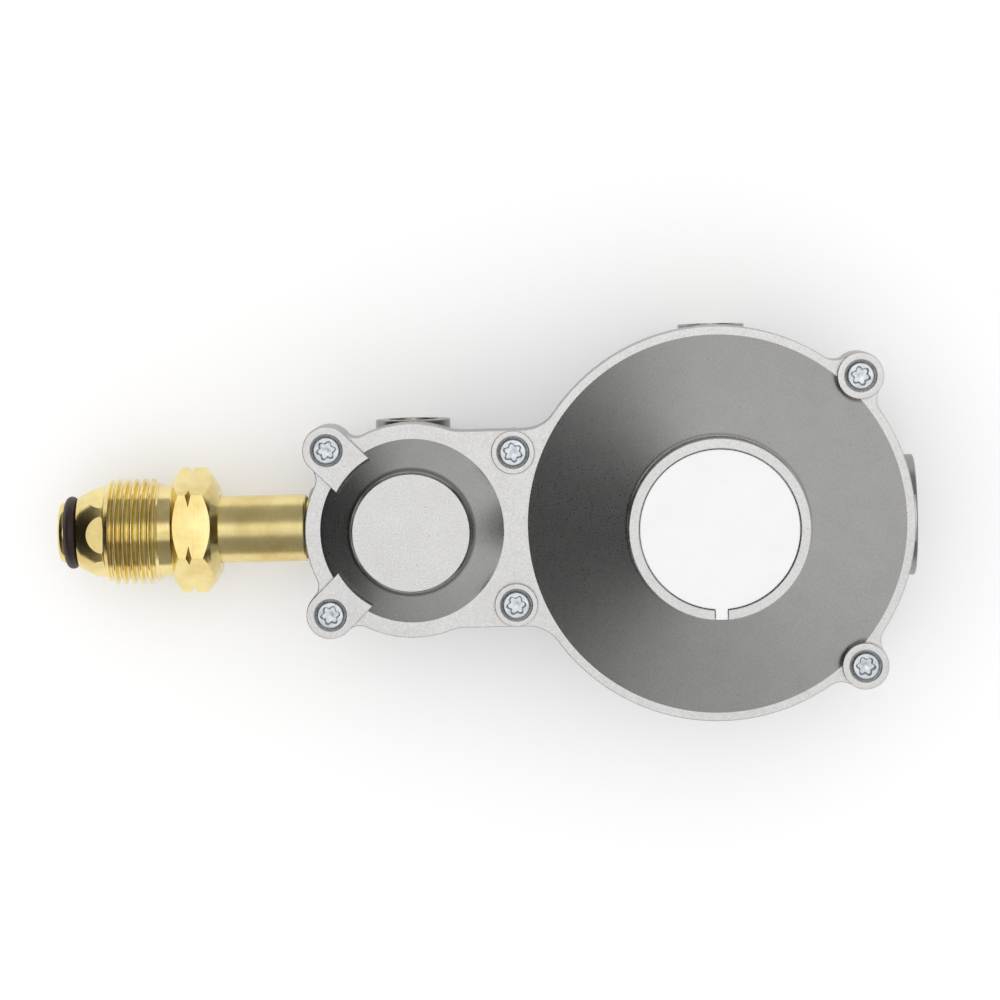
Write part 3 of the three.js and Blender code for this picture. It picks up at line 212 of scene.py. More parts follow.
# Screws and works.
SCREW_HEAD_R = 2.72 * MM
SCREW_SHANK_R = 1.9 * MM
SCREW_LENGTH = 12 * MM
RECESS_POINT_R = 1.15 * MM
LOBE_POINTS = 72
PLUG_SOCKET_DEPTH = 3.3 * MM
PLUG_POINT_DEPTH = 4.5 * MM
FIRST_LIFT = 2 * MM
SECOND_LIFT = 4 * MM
RELIEF_LIFT = 1.2 * MM
RUBBER_THICK = 0.8 * MM
DIAPHRAGM_HOLE_R = 1.7 * MM

# Brass inlet.
TUBE_R = 7.1 * MM
TUBE_END_X = INLET_FACE_X - 0.4 * MM
BRASS_BORE_R = 3.2 * MM
INLET_THREAD_R = 6.5 * MM
INLET_RELIEF_R = 5.9 * MM
SCREEN_SEAT_R = 3.55 * MM
SCREEN_SEAT_DEPTH = 7 * MM
CHAMFER = 0.6 * MM
NOSE_START_X = RING_HIGH.x + 0.08 * MM
NOSE_END_X = NUT_LOW.x - 0.3 * MM
NOSE_SMALL_R = 7.55 * MM
NOSE_BIG_R = TAIL_HIGH.y
GROOVE_FRONT_X = RING_LOW.x - 0.08 * MM
GROOVE_R = 5 * MM
TIP_R = 6.45 * MM
HEX_LENGTH = 9.8 * MM
HEX_START_X = NUT_HIGH.x - HEX_LENGTH
RELIEF_R = 9.8 * MM
RELIEF_LENGTH = 2.9 * MM
THREAD_END_X = HEX_START_X - RELIEF_LENGTH
GROOVE_X = HEX_START_X + 3.8 * MM
HEX_FRONT_R = 10.9 * MM
HEX_FRONT_LENGTH = 1.75 * MM
HEX_BACK_LENGTH = 3.1 * MM
HEX_KNEE_R = 11.5 * MM
HEX_KNEE_LENGTH = 1.45 * MM
HEX_BACK_R = 9.2 * MM

# Node trees.
THREAD_FLANK = (0.12, 0.86)  # where a tooth's flank starts and ends, as shares of its rise
THREAD_STEPS = 97
COIL_STEPS = 40
CLOSED_COIL_RISE = 1.03  # in widths of the wire
WIRE_SIDES = 16

# Stage.
FLOOR_WIDTH = 6
SENSOR_WIDTH = 36

# ---------------------------------------------------------------- what a user would change


def length(name, description, default):
    """A length that shows in the scene's units."""
    return FloatProperty(name=name, description=description, default=default, unit="LENGTH",
                         subtype="DISTANCE", precision=5)


def share(name, description, default):
    """A number from 0 to 1."""
    return FloatProperty(name=name, description=description, default=default, min=0, max=1,
                         subtype="FACTOR")


def colour(name, description, default):
    """A linear colour."""
    return FloatVectorProperty(name=name, description=description, default=default, min=0, max=1,
                               subtype="COLOR")


def angle(name, description, degrees):
    """An angle, given in degrees."""
    return FloatProperty(name=name, description=description, default=math.radians(degrees),
                         unit="ROTATION", subtype="ANGLE")


def position(name, description, default):
    """A place in the scene."""
    return FloatVectorProperty(name=name, description=description, default=default, subtype="XYZ",
                               unit="LENGTH")


class CastingSettings(bpy.types.PropertyGroup):
    """The two aluminium castings."""

    flange_edge: length("Flange edge", "Rounding of the flange's outer edge", 0.18 * MM)
    boss_edge: length("Boss edge", "Rounding of the screw bosses' outer edge", 0.15 * MM)
    tower_edge: length("Tower edge", "Rounding of the tower's outer edge", 0.2 * MM)
    tower_fillet: length("Tower fillet", "Hollow rounding where the cone meets the tower", 0.8 * MM)
    disc_edge: length("Disc edge", "Rounding of the small disc's edge", 0.15 * MM)
    disc_fillet: length("Disc fillet", "Hollow rounding where the small cone meets its disc", 1.6 * MM)
    dish_radius: length("Dish radius", "Radius over the sloping edge of each screw's dish", 3.5 * MM)
    dish_edge: length("Dish edge", "Upright height of that sloping edge", 0.6 * MM)
    bright: colour("Bright metal", "Colour of the casting's bright grain", (0.80, 0.795, 0.785))
    dull: colour("Dull metal", "Colour of the casting's dull grain", (0.68, 0.67, 0.655))
    grain: length("Grain", "Size of the speckle left by the mould", 0.4 * MM)
    # painted shade: the castings' steep walls and the hollows at the feet of the disc and the tower are
    # darkened towards this colour
    shadowed: colour("Painted wall shade", "Colour of the painted shade on the walls and hollows",
                     (0.16, 0.16, 0.155))
    painted_shade_share: share("Painted shade share", "How much of that colour the walls and hollows take", 0.75)
    roughness: share("Roughness", "Mean roughness of the cast surface", 0.29)


class BrassSettings(bpy.types.PropertyGroup):
    """The inlet's brass pieces."""

    thread_pitch: length("Thread pitch", "Pitch of the nut's left-hand thread", 1.814 * MM)
    thread_crest: length("Thread crest", "Radius over the nut's thread crests", 11.24 * MM)
    thread_root: length("Thread root", "Radius at the nut's thread roots", 10.1 * MM)
    hex_flats: length("Hexagon", "Width of the nut's hexagon across its flats", 23 * MM)
    hex_turn: angle("Hexagon turn", "How far the nut's hexagon is turned at rest", -7.2)
    facet_flats: length("Nose facets", "Width of the nose across its facets", 17.5 * MM)
    facet_turn: angle("Nose turn", "How far the nose's facets are turned", 0.5)
    groove_width: length("Groove width", "Width of the groove across the hexagon's corners", 1.4 * MM)
    groove_depth: length("Groove depth", "Depth of the groove at the hexagon's corners", 1.25 * MM)
    brass: colour("Brass", "Colour of the turned brass", (0.90, 0.76, 0.36))
    tarnish: colour("Tarnish", "Colour of the brass where it has dulled", (0.72, 0.54, 0.20))
    roughness: share("Roughness", "Roughness of the polished nut and nose", 0.17)
    tube_roughness: share("Tube roughness", "Roughness of the tube", 0.3)


class FastenerSettings(bpy.types.PropertyGroup):
    """The cover screws and the gauge plugs."""

    lobe_radius: length("Lobe radius", "Radius of the six-lobe recess at its lobes", 2.05 * MM)
    waist_radius: length("Waist radius", "Radius of the recess between its lobes", 1.5 * MM)
    recess_depth: length("Recess depth", "Depth of the six-lobe recess", 1.3 * MM)
    socket_flats: length("Socket", "Width of the plugs' hexagon socket", 4.76 * MM)
    turn_seed: IntProperty(name="Turn seed", description="Seed for how far each screw is turned",
                           default=4, min=0)
    zinc: colour("Zinc plate", "Colour of the screws' zinc plate", (0.80, 0.84, 0.88))


class CapSettings(bpy.types.PropertyGroup):
    """The closing cap, the adjusting screw below it and the O-ring."""

    edge: length("Cap edge", "Rounding of the cap's outer edge", 0.3 * MM)
    white: colour("White plastic", "Colour of the cap", (0.97, 0.97, 0.975))
    black: colour("Black plastic", "Colour of the adjusting screw", (0.03, 0.03, 0.033))
    rubber: colour("Rubber", "Colour of the O-ring and the valve seats", (0.030, 0.012, 0.010))


class WorksSettings(bpy.types.PropertyGroup):
    """The pieces inside both stages."""

    main_wire: length("Main spring wire", "Wire of the second stage's main spring", 1.5 * MM)
    first_wire: length("First spring wire", "Wire of the first stage's spring", 1.6 * MM)
    relief_wire: length("Relief spring wire", "Wire of the relief spring", 0.8 * MM)
    steel: colour("Steel", "Colour of the stamped steel pieces", (0.58, 0.58, 0.59))
    spring_steel: colour("Spring steel", "Colour of the springs' wire", (0.36, 0.36, 0.38))


class StageSettings(bpy.types.PropertyGroup):
    """The camera, the lamp, the room, the floor and the grey screen."""

    eye: position("Camera", "Where the camera stands", (-0.02826, 0.06032, 0.881))
    target: position("Target", "What the camera looks at", (-0.04506, 0.00602, 0.031))
    roll: angle("Roll", "How far the object is turned in the picture", 1.27)
    frame_width: length("Frame width", "Width of the picture at the target", 0.2079)
    floor_colour: colour("Floor", "Colour of the floor", (0.9, 0.9, 0.9))
    floor_glow: share("Floor glow", "What the floor adds to its own brightness where it is seen", 0.2)
    room_light: share("Room light", "Brightness of the room as light on the object", 0.95)
    lamp_size: length("Lamp size", "Width of the soft lamp", 0.6)
    lamp_light: share("Lamp light", "Brightness of the lamp's face", 0.32)
    lamp_place: position("Lamp", "Where the lamp hangs", (-0.045, 0.36, 1.4))
    screen_centre: length("Screen centre", "Where the grey screen's middle stands along X", -0.045)
    screen_radius: length("Screen radius", "Radius of the grey screen round the object", 0.8)
    screen_height: length("Screen height", "Height of the grey screen", 2.0)
    screen_left: share("Screen on the left", "Shade of the screen on the inlet's side", 0.02)
    screen_right: share("Screen on the right", "Shade of the screen on the outlet's side", 0.47)
    screen_back: share("Screen at the back", "Shade of the screen beyond the object", 0.42)
    screen_front: share("Screen at the front", "Shade of the screen on this side of the object", 0.34)


# ---------------------------------------------------------------- outlines and profiles


def softened(points, step=10):
    """A profile of (a, b) or (a, b, radius) corners, with each radius drawn as an arc."""
    path = []
    for i, point in enumerate(points):
        here = Vector(point[:2])
        if len(point) == 2:
            path.append(tuple(here))
            continue
        to_last = (Vector(points[i - 1][:2]) - here).normalized()
        to_next = (Vector(points[i + 1][:2]) - here).normalized()
        half = to_last.angle(to_next) / 2
        centre = here + (to_last + to_next).normalized() * (point[2] / math.sin(half))
        reach = point[2] / math.tan(half)
        first, last = here + to_last * reach - centre, here + to_next * reach - centre
        sweep = math.atan2(first.x * last.y - first.y * last.x, first.dot(last))
        count = max(2, math.ceil(abs(math.degrees(sweep)) / step))
        for k in range(count + 1):
            path.append(tuple(centre + Matrix.Rotation(sweep * k / count, 2) @ first))
    return path


def arc(x, y, r, start, stop, step):
    """Points on a circle, angles in degrees."""
    count = max(2, math.ceil(abs(stop - start) / step))
    angles = [math.radians(start + (stop - start) * i / count) for i in range(count + 1)]
    return [(x + r * math.cos(a), y + r * math.sin(a)) for a in angles]


def bearing(start, stop):
    """The direction from one circle's centre to another's, in degrees."""
    return math.degrees(math.atan2(stop[1] - start[1], stop[0] - start[0]))


def fillet_between(a, b, f):
    """The circle of radius f that touches circles a and b from outside, on the left of a to b."""
    dx, dy = b[0] - a[0], b[1] - a[1]
    d = math.hypot(dx, dy)
    along = (d * d + (a[2] + f) ** 2 - (b[2] + f) ** 2) / (2 * d)
    off = math.sqrt((a[2] + f) ** 2 - along * along)
    return a[0] + (dx * along - dy * off) / d, a[1] + (dy * along + dx * off) / d, f


FIRST_CIRCLE = (FIRST_X, 0.0, FIRST_FLANGE_R)
SECOND_CIRCLE = (0.0, 0.0, SECOND_FLANGE_R)
INLET_LUG = (SCREW_SPOTS[0].x, SCREW_SPOTS[0].y, INLET_LUG_R)
OUTLET_LUG = (SCREW_SPOTS[4].x, SCREW_SPOTS[4].y, OUTLET_LUG_R)


def plan_outline(inset):
    """The castings' outline seen from above, moved inwards by inset, with the same points each time."""

    def outside(circle, start, stop):
        """Clockwise round a bulge."""
        turn = (start - stop) % 360
        return arc(circle[0], circle[1], circle[2] - inset, start, start - turn, ARC_STEP)

    def inside(circle, start, stop):
        """Anticlockwise round a hollow fillet's centre."""
        turn = (stop - start) % 360
        return arc(circle[0], circle[1], circle[2] + inset, start, start + turn, FILLET_STEP)

    def neck_fillet(circle, f, side):
        across = math.sqrt((circle[2] + f) ** 2 - (NECK_HALF + f) ** 2)
        return circle[0] + side * across, NECK_HALF + f, f

    def lug_run(circle, lug, f, start):
        before, after = fillet_between(circle, lug, f), fillet_between(lug, circle, f)
        return [
            outside(circle, start, bearing(circle, before)),
            inside(before, bearing(before, circle), bearing(before, lug)),
            outside(lug, bearing(lug, before), bearing(lug, after)),
            inside(after, bearing(after, lug), bearing(after, circle)),
        ], bearing(circle, after)

    shoulder = neck_fillet(FIRST_CIRCLE, SHOULDER_FILLET_R, 1)
    neck = neck_fillet(SECOND_CIRCLE, NECK_FILLET_R, -1)
    inlet, inlet_end = lug_run(FIRST_CIRCLE, INLET_LUG, INLET_LUG_FILLET_R, 180)
    outlet, outlet_end = lug_run(SECOND_CIRCLE, OUTLET_LUG, OUTLET_LUG_FILLET_R,
                                 bearing(SECOND_CIRCLE, neck))
    runs = inlet + [
        outside(FIRST_CIRCLE, inlet_end, bearing(FIRST_CIRCLE, shoulder)),
        inside(shoulder, bearing(shoulder, FIRST_CIRCLE), 270),
        inside(neck, 270, bearing(neck, SECOND_CIRCLE)),
    ] + outlet + [outside(SECOND_CIRCLE, outlet_end, 0)]
    top = []
    for point in (p for run in runs for p in run):
        if not top or math.dist(point, top[-1]) > 0.001 * MM:
            top.append(point)
    return top + [(x, -y) for x, y in reversed(top[1:-1])]


def arm_outline(side):
    """The raised arm from an inlet lug towards the first stage's axis, as a function of its inset."""

    def outline(inset):
        x, y = INLET_LUG[0], side * INLET_LUG[1]
        to_axis = math.degrees(math.atan2(-y, FIRST_X - x))
        r = INLET_LUG[2] - BOSS_INSET - inset
        head = arc(x, y, r, to_axis + 90, to_axis + 270, 2 * ARC_STEP)
        stop_r = ARM_END_R + inset
        swing = math.degrees(math.asin(r / stop_r))
        step = swing / 3.9  # eight of them, whatever the inset
        return head + arc(FIRST_X, 0.0, stop_r, to_axis + 180 + swing, to_axis + 180 - swing, step)

    return outline


def lobes(lobe_r, waist_r):
    """A six-lobe recess about the origin, as a function of its inset."""

    def outline(inset):
        points = []
        for a in (math.tau * k / LOBE_POINTS for k in range(LOBE_POINTS)):
            r = waist_r + (lobe_r - waist_r) * ((1 + math.cos(6 * a)) / 2) ** 0.85 - inset
            points.append((r * math.cos(a), r * math.sin(a)))
        return points

    return outline


def hexagon(flats, turn=0.0):
    """A hexagon about the origin, as a function of its inset. At no turn a corner lies on the first axis."""

    def outline(inset):
        r = (flats / 2 - inset) / math.cos(math.radians(30))
        return [(r * math.cos(a), r * math.sin(a))
                for a in (math.radians(60 * i + 60) + turn for i in range(6))]

    return outline


def rectangle(x0, x1, y0, y1, corner=0.0):
    """A rectangle's outline with rounded corners, as a function of its inset."""

    def outline(inset):
        r = max(corner - inset, 0.01 * MM)
        xs, ys = (x0 + inset + r, x1 - inset - r), (y0 + inset + r, y1 - inset - r)
        spots = ((xs[1], ys[1], 0), (xs[0], ys[1], 90), (xs[0], ys[0], 180), (xs[1], ys[0], 270))
        return [p for x, y, a in spots for p in arc(x, y, r, a, a + 90, CORNER_STEP)]

    return outline


# ---------------------------------------------------------------- meshes


def new_piece(name, data):
    """An object with this mesh, lamp or camera, linked to the scene."""
    piece = bpy.data.objects.new(name, data)
    bpy.context.scene.collection.objects.link(piece)
    return piece


def meshed(name, vertices, faces):
    """A closed piece from its points and faces, with doubles merged and its faces pointing out."""
    mesh = bpy.data.meshes.new(name)
    mesh.from_pydata(vertices, [], faces)
    cleaned(mesh)
    return new_piece(name, mesh)


def cleaned(mesh):
    """Merges a closed mesh's doubles, drops what has no size and turns its faces outwards."""
    shape = bmesh.new()
    shape.from_mesh(mesh)
    bmesh.ops.remove_doubles(shape, verts=shape.verts, dist=1e-7)
    bmesh.ops.dissolve_degenerate(shape, dist=1e-7, edges=shape.edges)
    bmesh.ops.recalc_face_normals(shape, faces=shape.faces)
    shape.to_mesh(mesh)
    shape.free()


AXES = {
    "z": lambda a, b, h: (a, b, h),
    "x": lambda a, b, h: (h, a, b),
    "y": lambda a, b, h: (b, h, a),
}


def lathe(profile, axis="z", at=(0, 0, 0), steps=96):
    """A solid turned from (radius, height) points. The profile starts and ends on the axis, or closes."""
    around = [(math.cos(a), math.sin(a)) for a in (math.tau * k / steps for k in range(steps))]
    is_ring = profile[0][0] > 0
    vertices, rows = [], []
    for r, h in profile:
        spots = [(0.0, 0.0)] if r == 0 else [(r * c, r * s) for c, s in around]
        rows.append(range(len(vertices), len(vertices) + len(spots)))
        vertices += [Vector(AXES[axis](a, b, h)) + Vector(at) for a, b in spots]
    pairs = list(zip(rows, rows[1:])) + ([(rows[-1], rows[0])] if is_ring else [])
    faces = []
    for low, high in pairs:
        for k in range(steps):
            n = (k + 1) % steps
            if len(low) == 1 and len(high) == 1:
                break
            if len(low) == 1:
                faces.append((low[0], high[k], high[n]))
            elif len(high) == 1:
                faces.append((low[k], high[0], low[n]))
            else:
                faces.append((low[k], high[k], high[n], low[n]))
    return meshed("turned", vertices, faces)


def slab(outline, levels, axis="z", at=(0, 0, 0), name="slab"):
    """A solid through a plan outline at each (inset, height) level."""
    rings = [outline(inset) for inset, _ in levels]
    count = len(rings[0])
    if any(len(ring) != count for ring in rings):
        raise ValueError(f"{name}'s outline changes its number of points with its inset")
    vertices = [Vector(AXES[axis](a, b, h)) + Vector(at)
                for ring, (_, h) in zip(rings, levels) for a, b in ring]
    faces = [tuple(range(count)), tuple(range(len(vertices) - count, len(vertices)))]
    for i in range(len(levels) - 1):
        for k in range(count):
            n = (k + 1) % count
            faces.append((i * count + k, (i + 1) * count + k, (i + 1) * count + n, i * count + n))
    return meshed(name, vertices, faces)


def edges(low, high, low_edge, high_edge):
    """Levels of a slab whose lower and upper edges are rounded."""
    quarter = [math.pi / 2 * k / ROUNDING_STEPS for k in range(ROUNDING_STEPS + 1)]
    bottom = [(low_edge * (1 - math.sin(a)), low + low_edge * (1 - math.cos(a))) for a in quarter]
    top = [(high_edge * (1 - math.cos(a)), high - high_edge * (1 - math.sin(a))) for a in quarter]
    return (bottom if low_edge else [(0, low)]) + (top if high_edge else [(0, high)])


def rod(r, low, high, axis="z", at=(0, 0, 0), steps=64):
    """A plain round bar, used to cut with or to join."""
    return lathe([(0, low), (r, low), (r, high), (0, high)], axis, at, steps)


def block(x0, x1, y0, y1, z0, z1):
    """A plain box, used to cut with or to join."""
    return slab(rectangle(x0, x1, y0, y1), [(0, z0), (0, z1)])


def combined(name, base, adds=(), cuts=(), keeps=()):
    """base with others joined to it, cut from it, then kept in common with it. Only the result stays."""
    others = [(o, "UNION") for o in adds] + [(o, "DIFFERENCE") for o in cuts]
    others += [(o, "INTERSECT") for o in keeps]
    for other, operation in others:
        boolean = base.modifiers.new(operation, "BOOLEAN")
        boolean.object, boolean.operation, boolean.solver = other, operation, "MANIFOLD"
    mesh = plain_mesh(base)
    if not mesh.polygons:
        raise RuntimeError(f"{name} came out empty")
    for o in [base] + [other for other, _ in others]:
        bpy.data.objects.remove(o)
    cleaned(mesh)
    mesh.name = name
    return new_piece(name, mesh)


def plain_mesh(obj):
    """The mesh of an object with its modifiers applied."""
    bpy.context.view_layer.update()
    graph = bpy.context.evaluated_depsgraph_get()
    return bpy.data.meshes.new_from_object(obj.evaluated_get(graph))


def mark_shaded_walls(piece, level):
    """Writes which of a casting's faces are steeper than level, for the painted shade in its material."""
    steep = piece.data.attributes.new("wall", "FLOAT", "FACE")
    steep.data.foreach_set("value", [float(abs(face.normal.z) < level) for face in piece.data.polygons])


def finish_piece(piece, name, body, slot, *nodes, sharp=30, smooth=(0, 0)):
    """Names, shades, paints and hangs a finished piece on its body, in place of its CAD nodes.

    Edges that turn more than sharp stay crisp, save between the two places along X in smooth.
    """
    piece.name = name
    piece.data.materials.clear()
    piece.data.materials.append(finish(slot))
    piece.data.shade_smooth()
    piece.data.set_sharp_from_angle(angle=math.radians(sharp))
    for edge in piece.data.edges:
        if all(smooth[0] < piece.data.vertices[k].co.x < smooth[1] for k in edge.vertices):
            edge.use_edge_sharp = False
    weighted = piece.modifiers.new("weighted", "WEIGHTED_NORMAL")
    weighted.keep_sharp = True
    piece.data = plain_mesh(piece)
    piece.modifiers.clear()
    piece.data.name = name
    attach(piece, body)
    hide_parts(*nodes)


# ---------------------------------------------------------------- materials


class Nodes:
    """Adds nodes to a tree and joins them."""

    def __init__(self, tree):
        self.tree = tree

    def feed(self, socket, value):
        """Joins an input to another node's output, or gives it a plain value."""
        if isinstance(value, bpy.types.NodeSocket):
            self.tree.links.new(value, socket)
        else:
            socket.default_value = (*value[:3], 1) if socket.type == "RGBA" else value

    def node(self, kind, inputs=(), **settings):
        """A new node with its settings made and its inputs fed."""
        made = self.tree.nodes.new(kind)
        for key, value in settings.items():
            setattr(made, key, value)
        for key, value in dict(inputs).items():
            self.feed(made.inputs[key], value)
        return made

    def calc(self, operation, *values, **settings):
        """What a sum on these values gives."""
        return self.node("ShaderNodeMath", dict(enumerate(values)), operation=operation,
                         **settings).outputs[0]

    def seen(self):
        """1 where the camera, a mirror or glass looks, and 0 where it only lights the object."""
        path = self.node("ShaderNodeLightPath").outputs
        eye = self.calc("MAXIMUM", path["Is Camera Ray"], path["Is Glossy Ray"])
        return self.calc("MAXIMUM", eye, path["Is Transmission Ray"])


class Shading(Nodes):
    """The nodes of a material, whose patterns are placed by Object coordinates."""

    def __init__(self, name):
        self.material = bpy.data.materials.new(name)
        self.material.use_nodes = True
        super().__init__(self.material.node_tree)
        self.surface = self.tree.nodes["Principled BSDF"]
        self.place = self.node("ShaderNodeTexCoord").outputs["Object"]

    def stretched(self, scale):
        """Object coordinates with each axis scaled."""
        return self.node("ShaderNodeMapping", {"Vector": self.place, "Scale": scale}).outputs[0]

    def noise(self, size, detail=3.0, vector=None, roughness=0.55):
        """Noise whose features are about size across."""
        inputs = {"Vector": vector or self.place, "Scale": 1 / size, "Detail": detail,
                  "Roughness": roughness}
        return self.node("ShaderNodeTexNoise", inputs).outputs["Fac"]

    def ranged(self, value, low, high, to_low=0.0, to_high=1.0):
        """value moved from low..high to another range, and held inside it."""
        inputs = {"Value": value, "From Min": low, "From Max": high, "To Min": to_low, "To Max": to_high}
        return self.node("ShaderNodeMapRange", inputs).outputs[0]

    def blend(self, factor, first, second):
        """A colour between two others."""
        return self.node("ShaderNodeMix", {0: factor, 6: first, 7: second}, data_type="RGBA").outputs[2]

    def sum(self, first, second, weight=1.0):
        """first plus weight times second."""
        return self.calc("MULTIPLY_ADD", second, weight, first)

    def product(self, *factors):
        """All the factors multiplied."""
        result = factors[0]
        for factor in factors[1:]:
            result = self.calc("MULTIPLY", result, factor)
        return result

    def part_of_place(self, axis):
        """One of the Object coordinates."""
        return self.node("ShaderNodeSeparateXYZ", {0: self.place}).outputs[axis]

    def foot_of(self, x, r, low_z, reach):
        """1 in the hollow round the foot of a round wall about (x, 0), fading to 0 at reach from it, as a
        mask for painted shade.
        """
        flat = self.node("ShaderNodeMapping", {"Vector": self.place, "Location": (-x, 0, 0),
                                               "Scale": (1, 1, 0)}).outputs[0]
        away = self.node("ShaderNodeVectorMath", {0: flat}, operation="LENGTH").outputs["Value"]
        return self.product(self.ranged(away, r + reach, r + 0.5 * reach),
                            self.ranged(away, r - 0.08 * MM, r - 0.02 * MM),
                            self.ranged(self.part_of_place(2), low_z, low_z + 0.3 * MM))

    def bump(self, height, distance, strength=0.5):
        """The normal of a surface with this relief."""
        inputs = {"Height": height, "Distance": distance, "Strength": strength}
        return self.node("ShaderNodeBump", inputs).outputs[0]

    def finish(self, **sockets):
        """Sets or joins the shader's own sockets."""
        for key, value in sockets.items():
            self.feed(self.surface.inputs[key.replace("_", " ").title().replace("Ior", "IOR")], value)
        return self.material


def cast_aluminium(s):
    """Pale die casting: a faint mottle of bright and dull metal, a few fine pits, a fine grain, and painted
    shade on its walls and hollows.
    """
    look = Shading("cast_aluminium")
    fleck = look.noise(s.grain, detail=5, roughness=0.7)
    fine = look.noise(s.grain / 4, detail=2)
    patch = look.noise(14 * s.grain, detail=4)
    mottle = look.sum(look.sum(fleck, fine, 0.35), patch, 0.45)
    tone = look.ranged(mottle, 0.62, 1.12)
    pits = look.node("ShaderNodeTexVoronoi", {"Vector": look.place, "Scale": 1 / (7 * s.grain)})
    pit = look.ranged(pits.outputs["Distance"], 0.03, 0.07)
    metal = look.blend(tone, s.dull, s.bright)
    metal = look.blend(pit, tuple(0.7 * c for c in s.dull), metal)
    # painted shade: the steep walls and the hollows round the feet of the disc and the tower are blended
    # towards the shadowed colour
    wall = look.node("ShaderNodeAttribute", attribute_name="wall").outputs["Fac"]
    disc_foot = look.foot_of(FIRST_X, DISC_R, FIRST_HEAD_Z - 0.4 * MM, 2.1 * MM)
    tower_foot = look.foot_of(0, TOWER_R, CONE_HEAD_Z - 0.6 * MM, 0.9 * MM)
    hollow = look.calc("MAXIMUM", disc_foot, look.product(tower_foot, 0.5))
    shade_mask = look.calc("MAXIMUM", wall, hollow)
    metal = look.blend(look.product(shade_mask, s.painted_shade_share), metal, s.shadowed)
    height = look.sum(look.sum(fleck, fine, 0.6), pit, 0.6)
    return look.finish(
        base_color=metal, metallic=1.0,
        roughness=look.ranged(fleck, 0.3, 0.7, s.roughness + 0.05, s.roughness - 0.05),
        normal=look.bump(height, 0.008 * MM),
    )


def turned_brass(s):
    """Bright brass with the fine rings that turning leaves, and patches that have dulled."""
    look = Shading("turned_brass")
    rings = look.noise(0.35 * MM, detail=4, vector=look.stretched((1, 0.02, 0.02)))
    dulled = look.ranged(look.noise(9 * MM, detail=5), 0.42, 0.72)
    scuffs = look.noise(0.5 * MM, detail=3, vector=look.stretched((0.15, 1, 1)))
    metal = look.blend(dulled, s.brass, s.tarnish)
    base = look.ranged(look.part_of_place(0), NUT_HIGH.x, NUT_HIGH.x + 0.3 * MM, s.roughness,
                       s.tube_roughness)
    rough = look.sum(look.sum(look.ranged(rings, 0.35, 0.7, -0.03, 0.05), base),
                     look.ranged(scuffs, 0.55, 0.8), 0.06)
    height = look.sum(rings, scuffs, 0.25)
    return look.finish(base_color=metal, metallic=1.0, roughness=rough,
                       normal=look.bump(height, 0.006 * MM, 0.6))


def plain_metal(name, base, shades, size, roughness, stretch=None, low=0.3, relief_size=None,
                relief_depth=0.004 * MM):
    """A metal clouded between two shades of its colour, with a change of roughness and a fine relief."""
    look = Shading(name)
    cloud = look.noise(size, detail=4, vector=look.stretched(stretch) if stretch else None)
    dark, light = ([shade * c for c in base] for shade in shades)
    height = look.noise(relief_size) if relief_size else cloud
    return look.finish(base_color=look.blend(look.ranged(cloud, low, 0.7), dark, light), metallic=1.0,
                       roughness=look.ranged(cloud, 0.3, 0.7, *roughness),
                       normal=look.bump(height, relief_depth))


def moulded(name, base, roughness, grain_size, grain_depth):
    """A moulded plastic or rubber with a fine grain and a slight change of tone."""
    look = Shading(name)
    cloud = look.noise(6 * MM, detail=4)
    return look.finish(
        base_color=look.blend(look.ranged(cloud, 0.35, 0.65), [0.97 * c for c in base], base),
        metallic=0.0, roughness=look.ranged(cloud, 0.3, 0.7, roughness - 0.03, roughness + 0.03),
        normal=look.bump(look.noise(grain_size, detail=3), grain_depth),
    )


FINISHES = {
    "cast_aluminium": lambda scene: cast_aluminium(scene.regulator_casting),
    "brass": lambda scene: turned_brass(scene.regulator_brass),
    "zinc_plate": lambda scene: plain_metal(
        "zinc_plate", scene.regulator_fasteners.zinc, (0.8, 1.0), 1.2 * MM, (0.34, 0.2),
        relief_size=0.2 * MM, relief_depth=0.006 * MM),
    "steel": lambda scene: plain_metal(
        "stamped_steel", scene.regulator_works.steel, (0.8, 1.0), 0.4 * MM, (0.28, 0.44),
        stretch=(0.1, 1, 1)),
    "spring_steel": lambda scene: plain_metal(
        "drawn_wire", scene.regulator_works.spring_steel, (1.0, 1.5), 0.9 * MM, (0.22, 0.38), low=0.35),
    "white_plastic": lambda scene: moulded(
        "white_plastic", scene.regulator_cap.white, 0.42, 0.25 * MM, 0.004 * MM),
    "black_plastic": lambda scene: moulded(
        "black_plastic", scene.regulator_cap.black, 0.4, 0.2 * MM, 0.008 * MM),
    "rubber": lambda scene: moulded("rubber", scene.regulator_cap.rubber, 0.48, 0.15 * MM, 0.01 * MM),
}
made_finishes = {}


def finish(slot):
    """The material of one of the record's slots, made once."""
    if slot not in made_finishes:
        made_finishes[slot] = FINISHES[slot](bpy.context.scene)
    return made_finishes[slot]


# ---------------------------------------------------------------- geometry nodes


class NodeTree(Nodes):
    """A geometry node tree with named inputs, built a node at a time."""

    def __init__(self, name, inputs):
        super().__init__(bpy.data.node_groups.new(name, "GeometryNodeTree"))
        self.tree.is_modifier = True
        sockets = self.tree.interface
        for label, kind in {"Geometry": "Geometry", **inputs}.items():
            sockets.new_socket(label, in_out="INPUT", socket_type="NodeSocket" + kind)
        sockets.new_socket("Geometry", in_out="OUTPUT", socket_type="NodeSocketGeometry")
        self.input = self.node("NodeGroupInput").outputs
        self.sums = [partial(self.calc, kind) for kind in ("ADD", "SUBTRACT", "MULTIPLY", "DIVIDE")]

    def end(self, geometry):
        """Closes the tree with real geometry in its material."""
        real = self.node("GeometryNodeRealizeInstances", {"Geometry": geometry}).outputs[0]
        inputs = {"Geometry": real, "Material": self.input["Material"]}
        painted = self.node("GeometryNodeSetMaterial", inputs).outputs[0]
        self.node("NodeGroupOutput", {0: painted})
        return self.tree


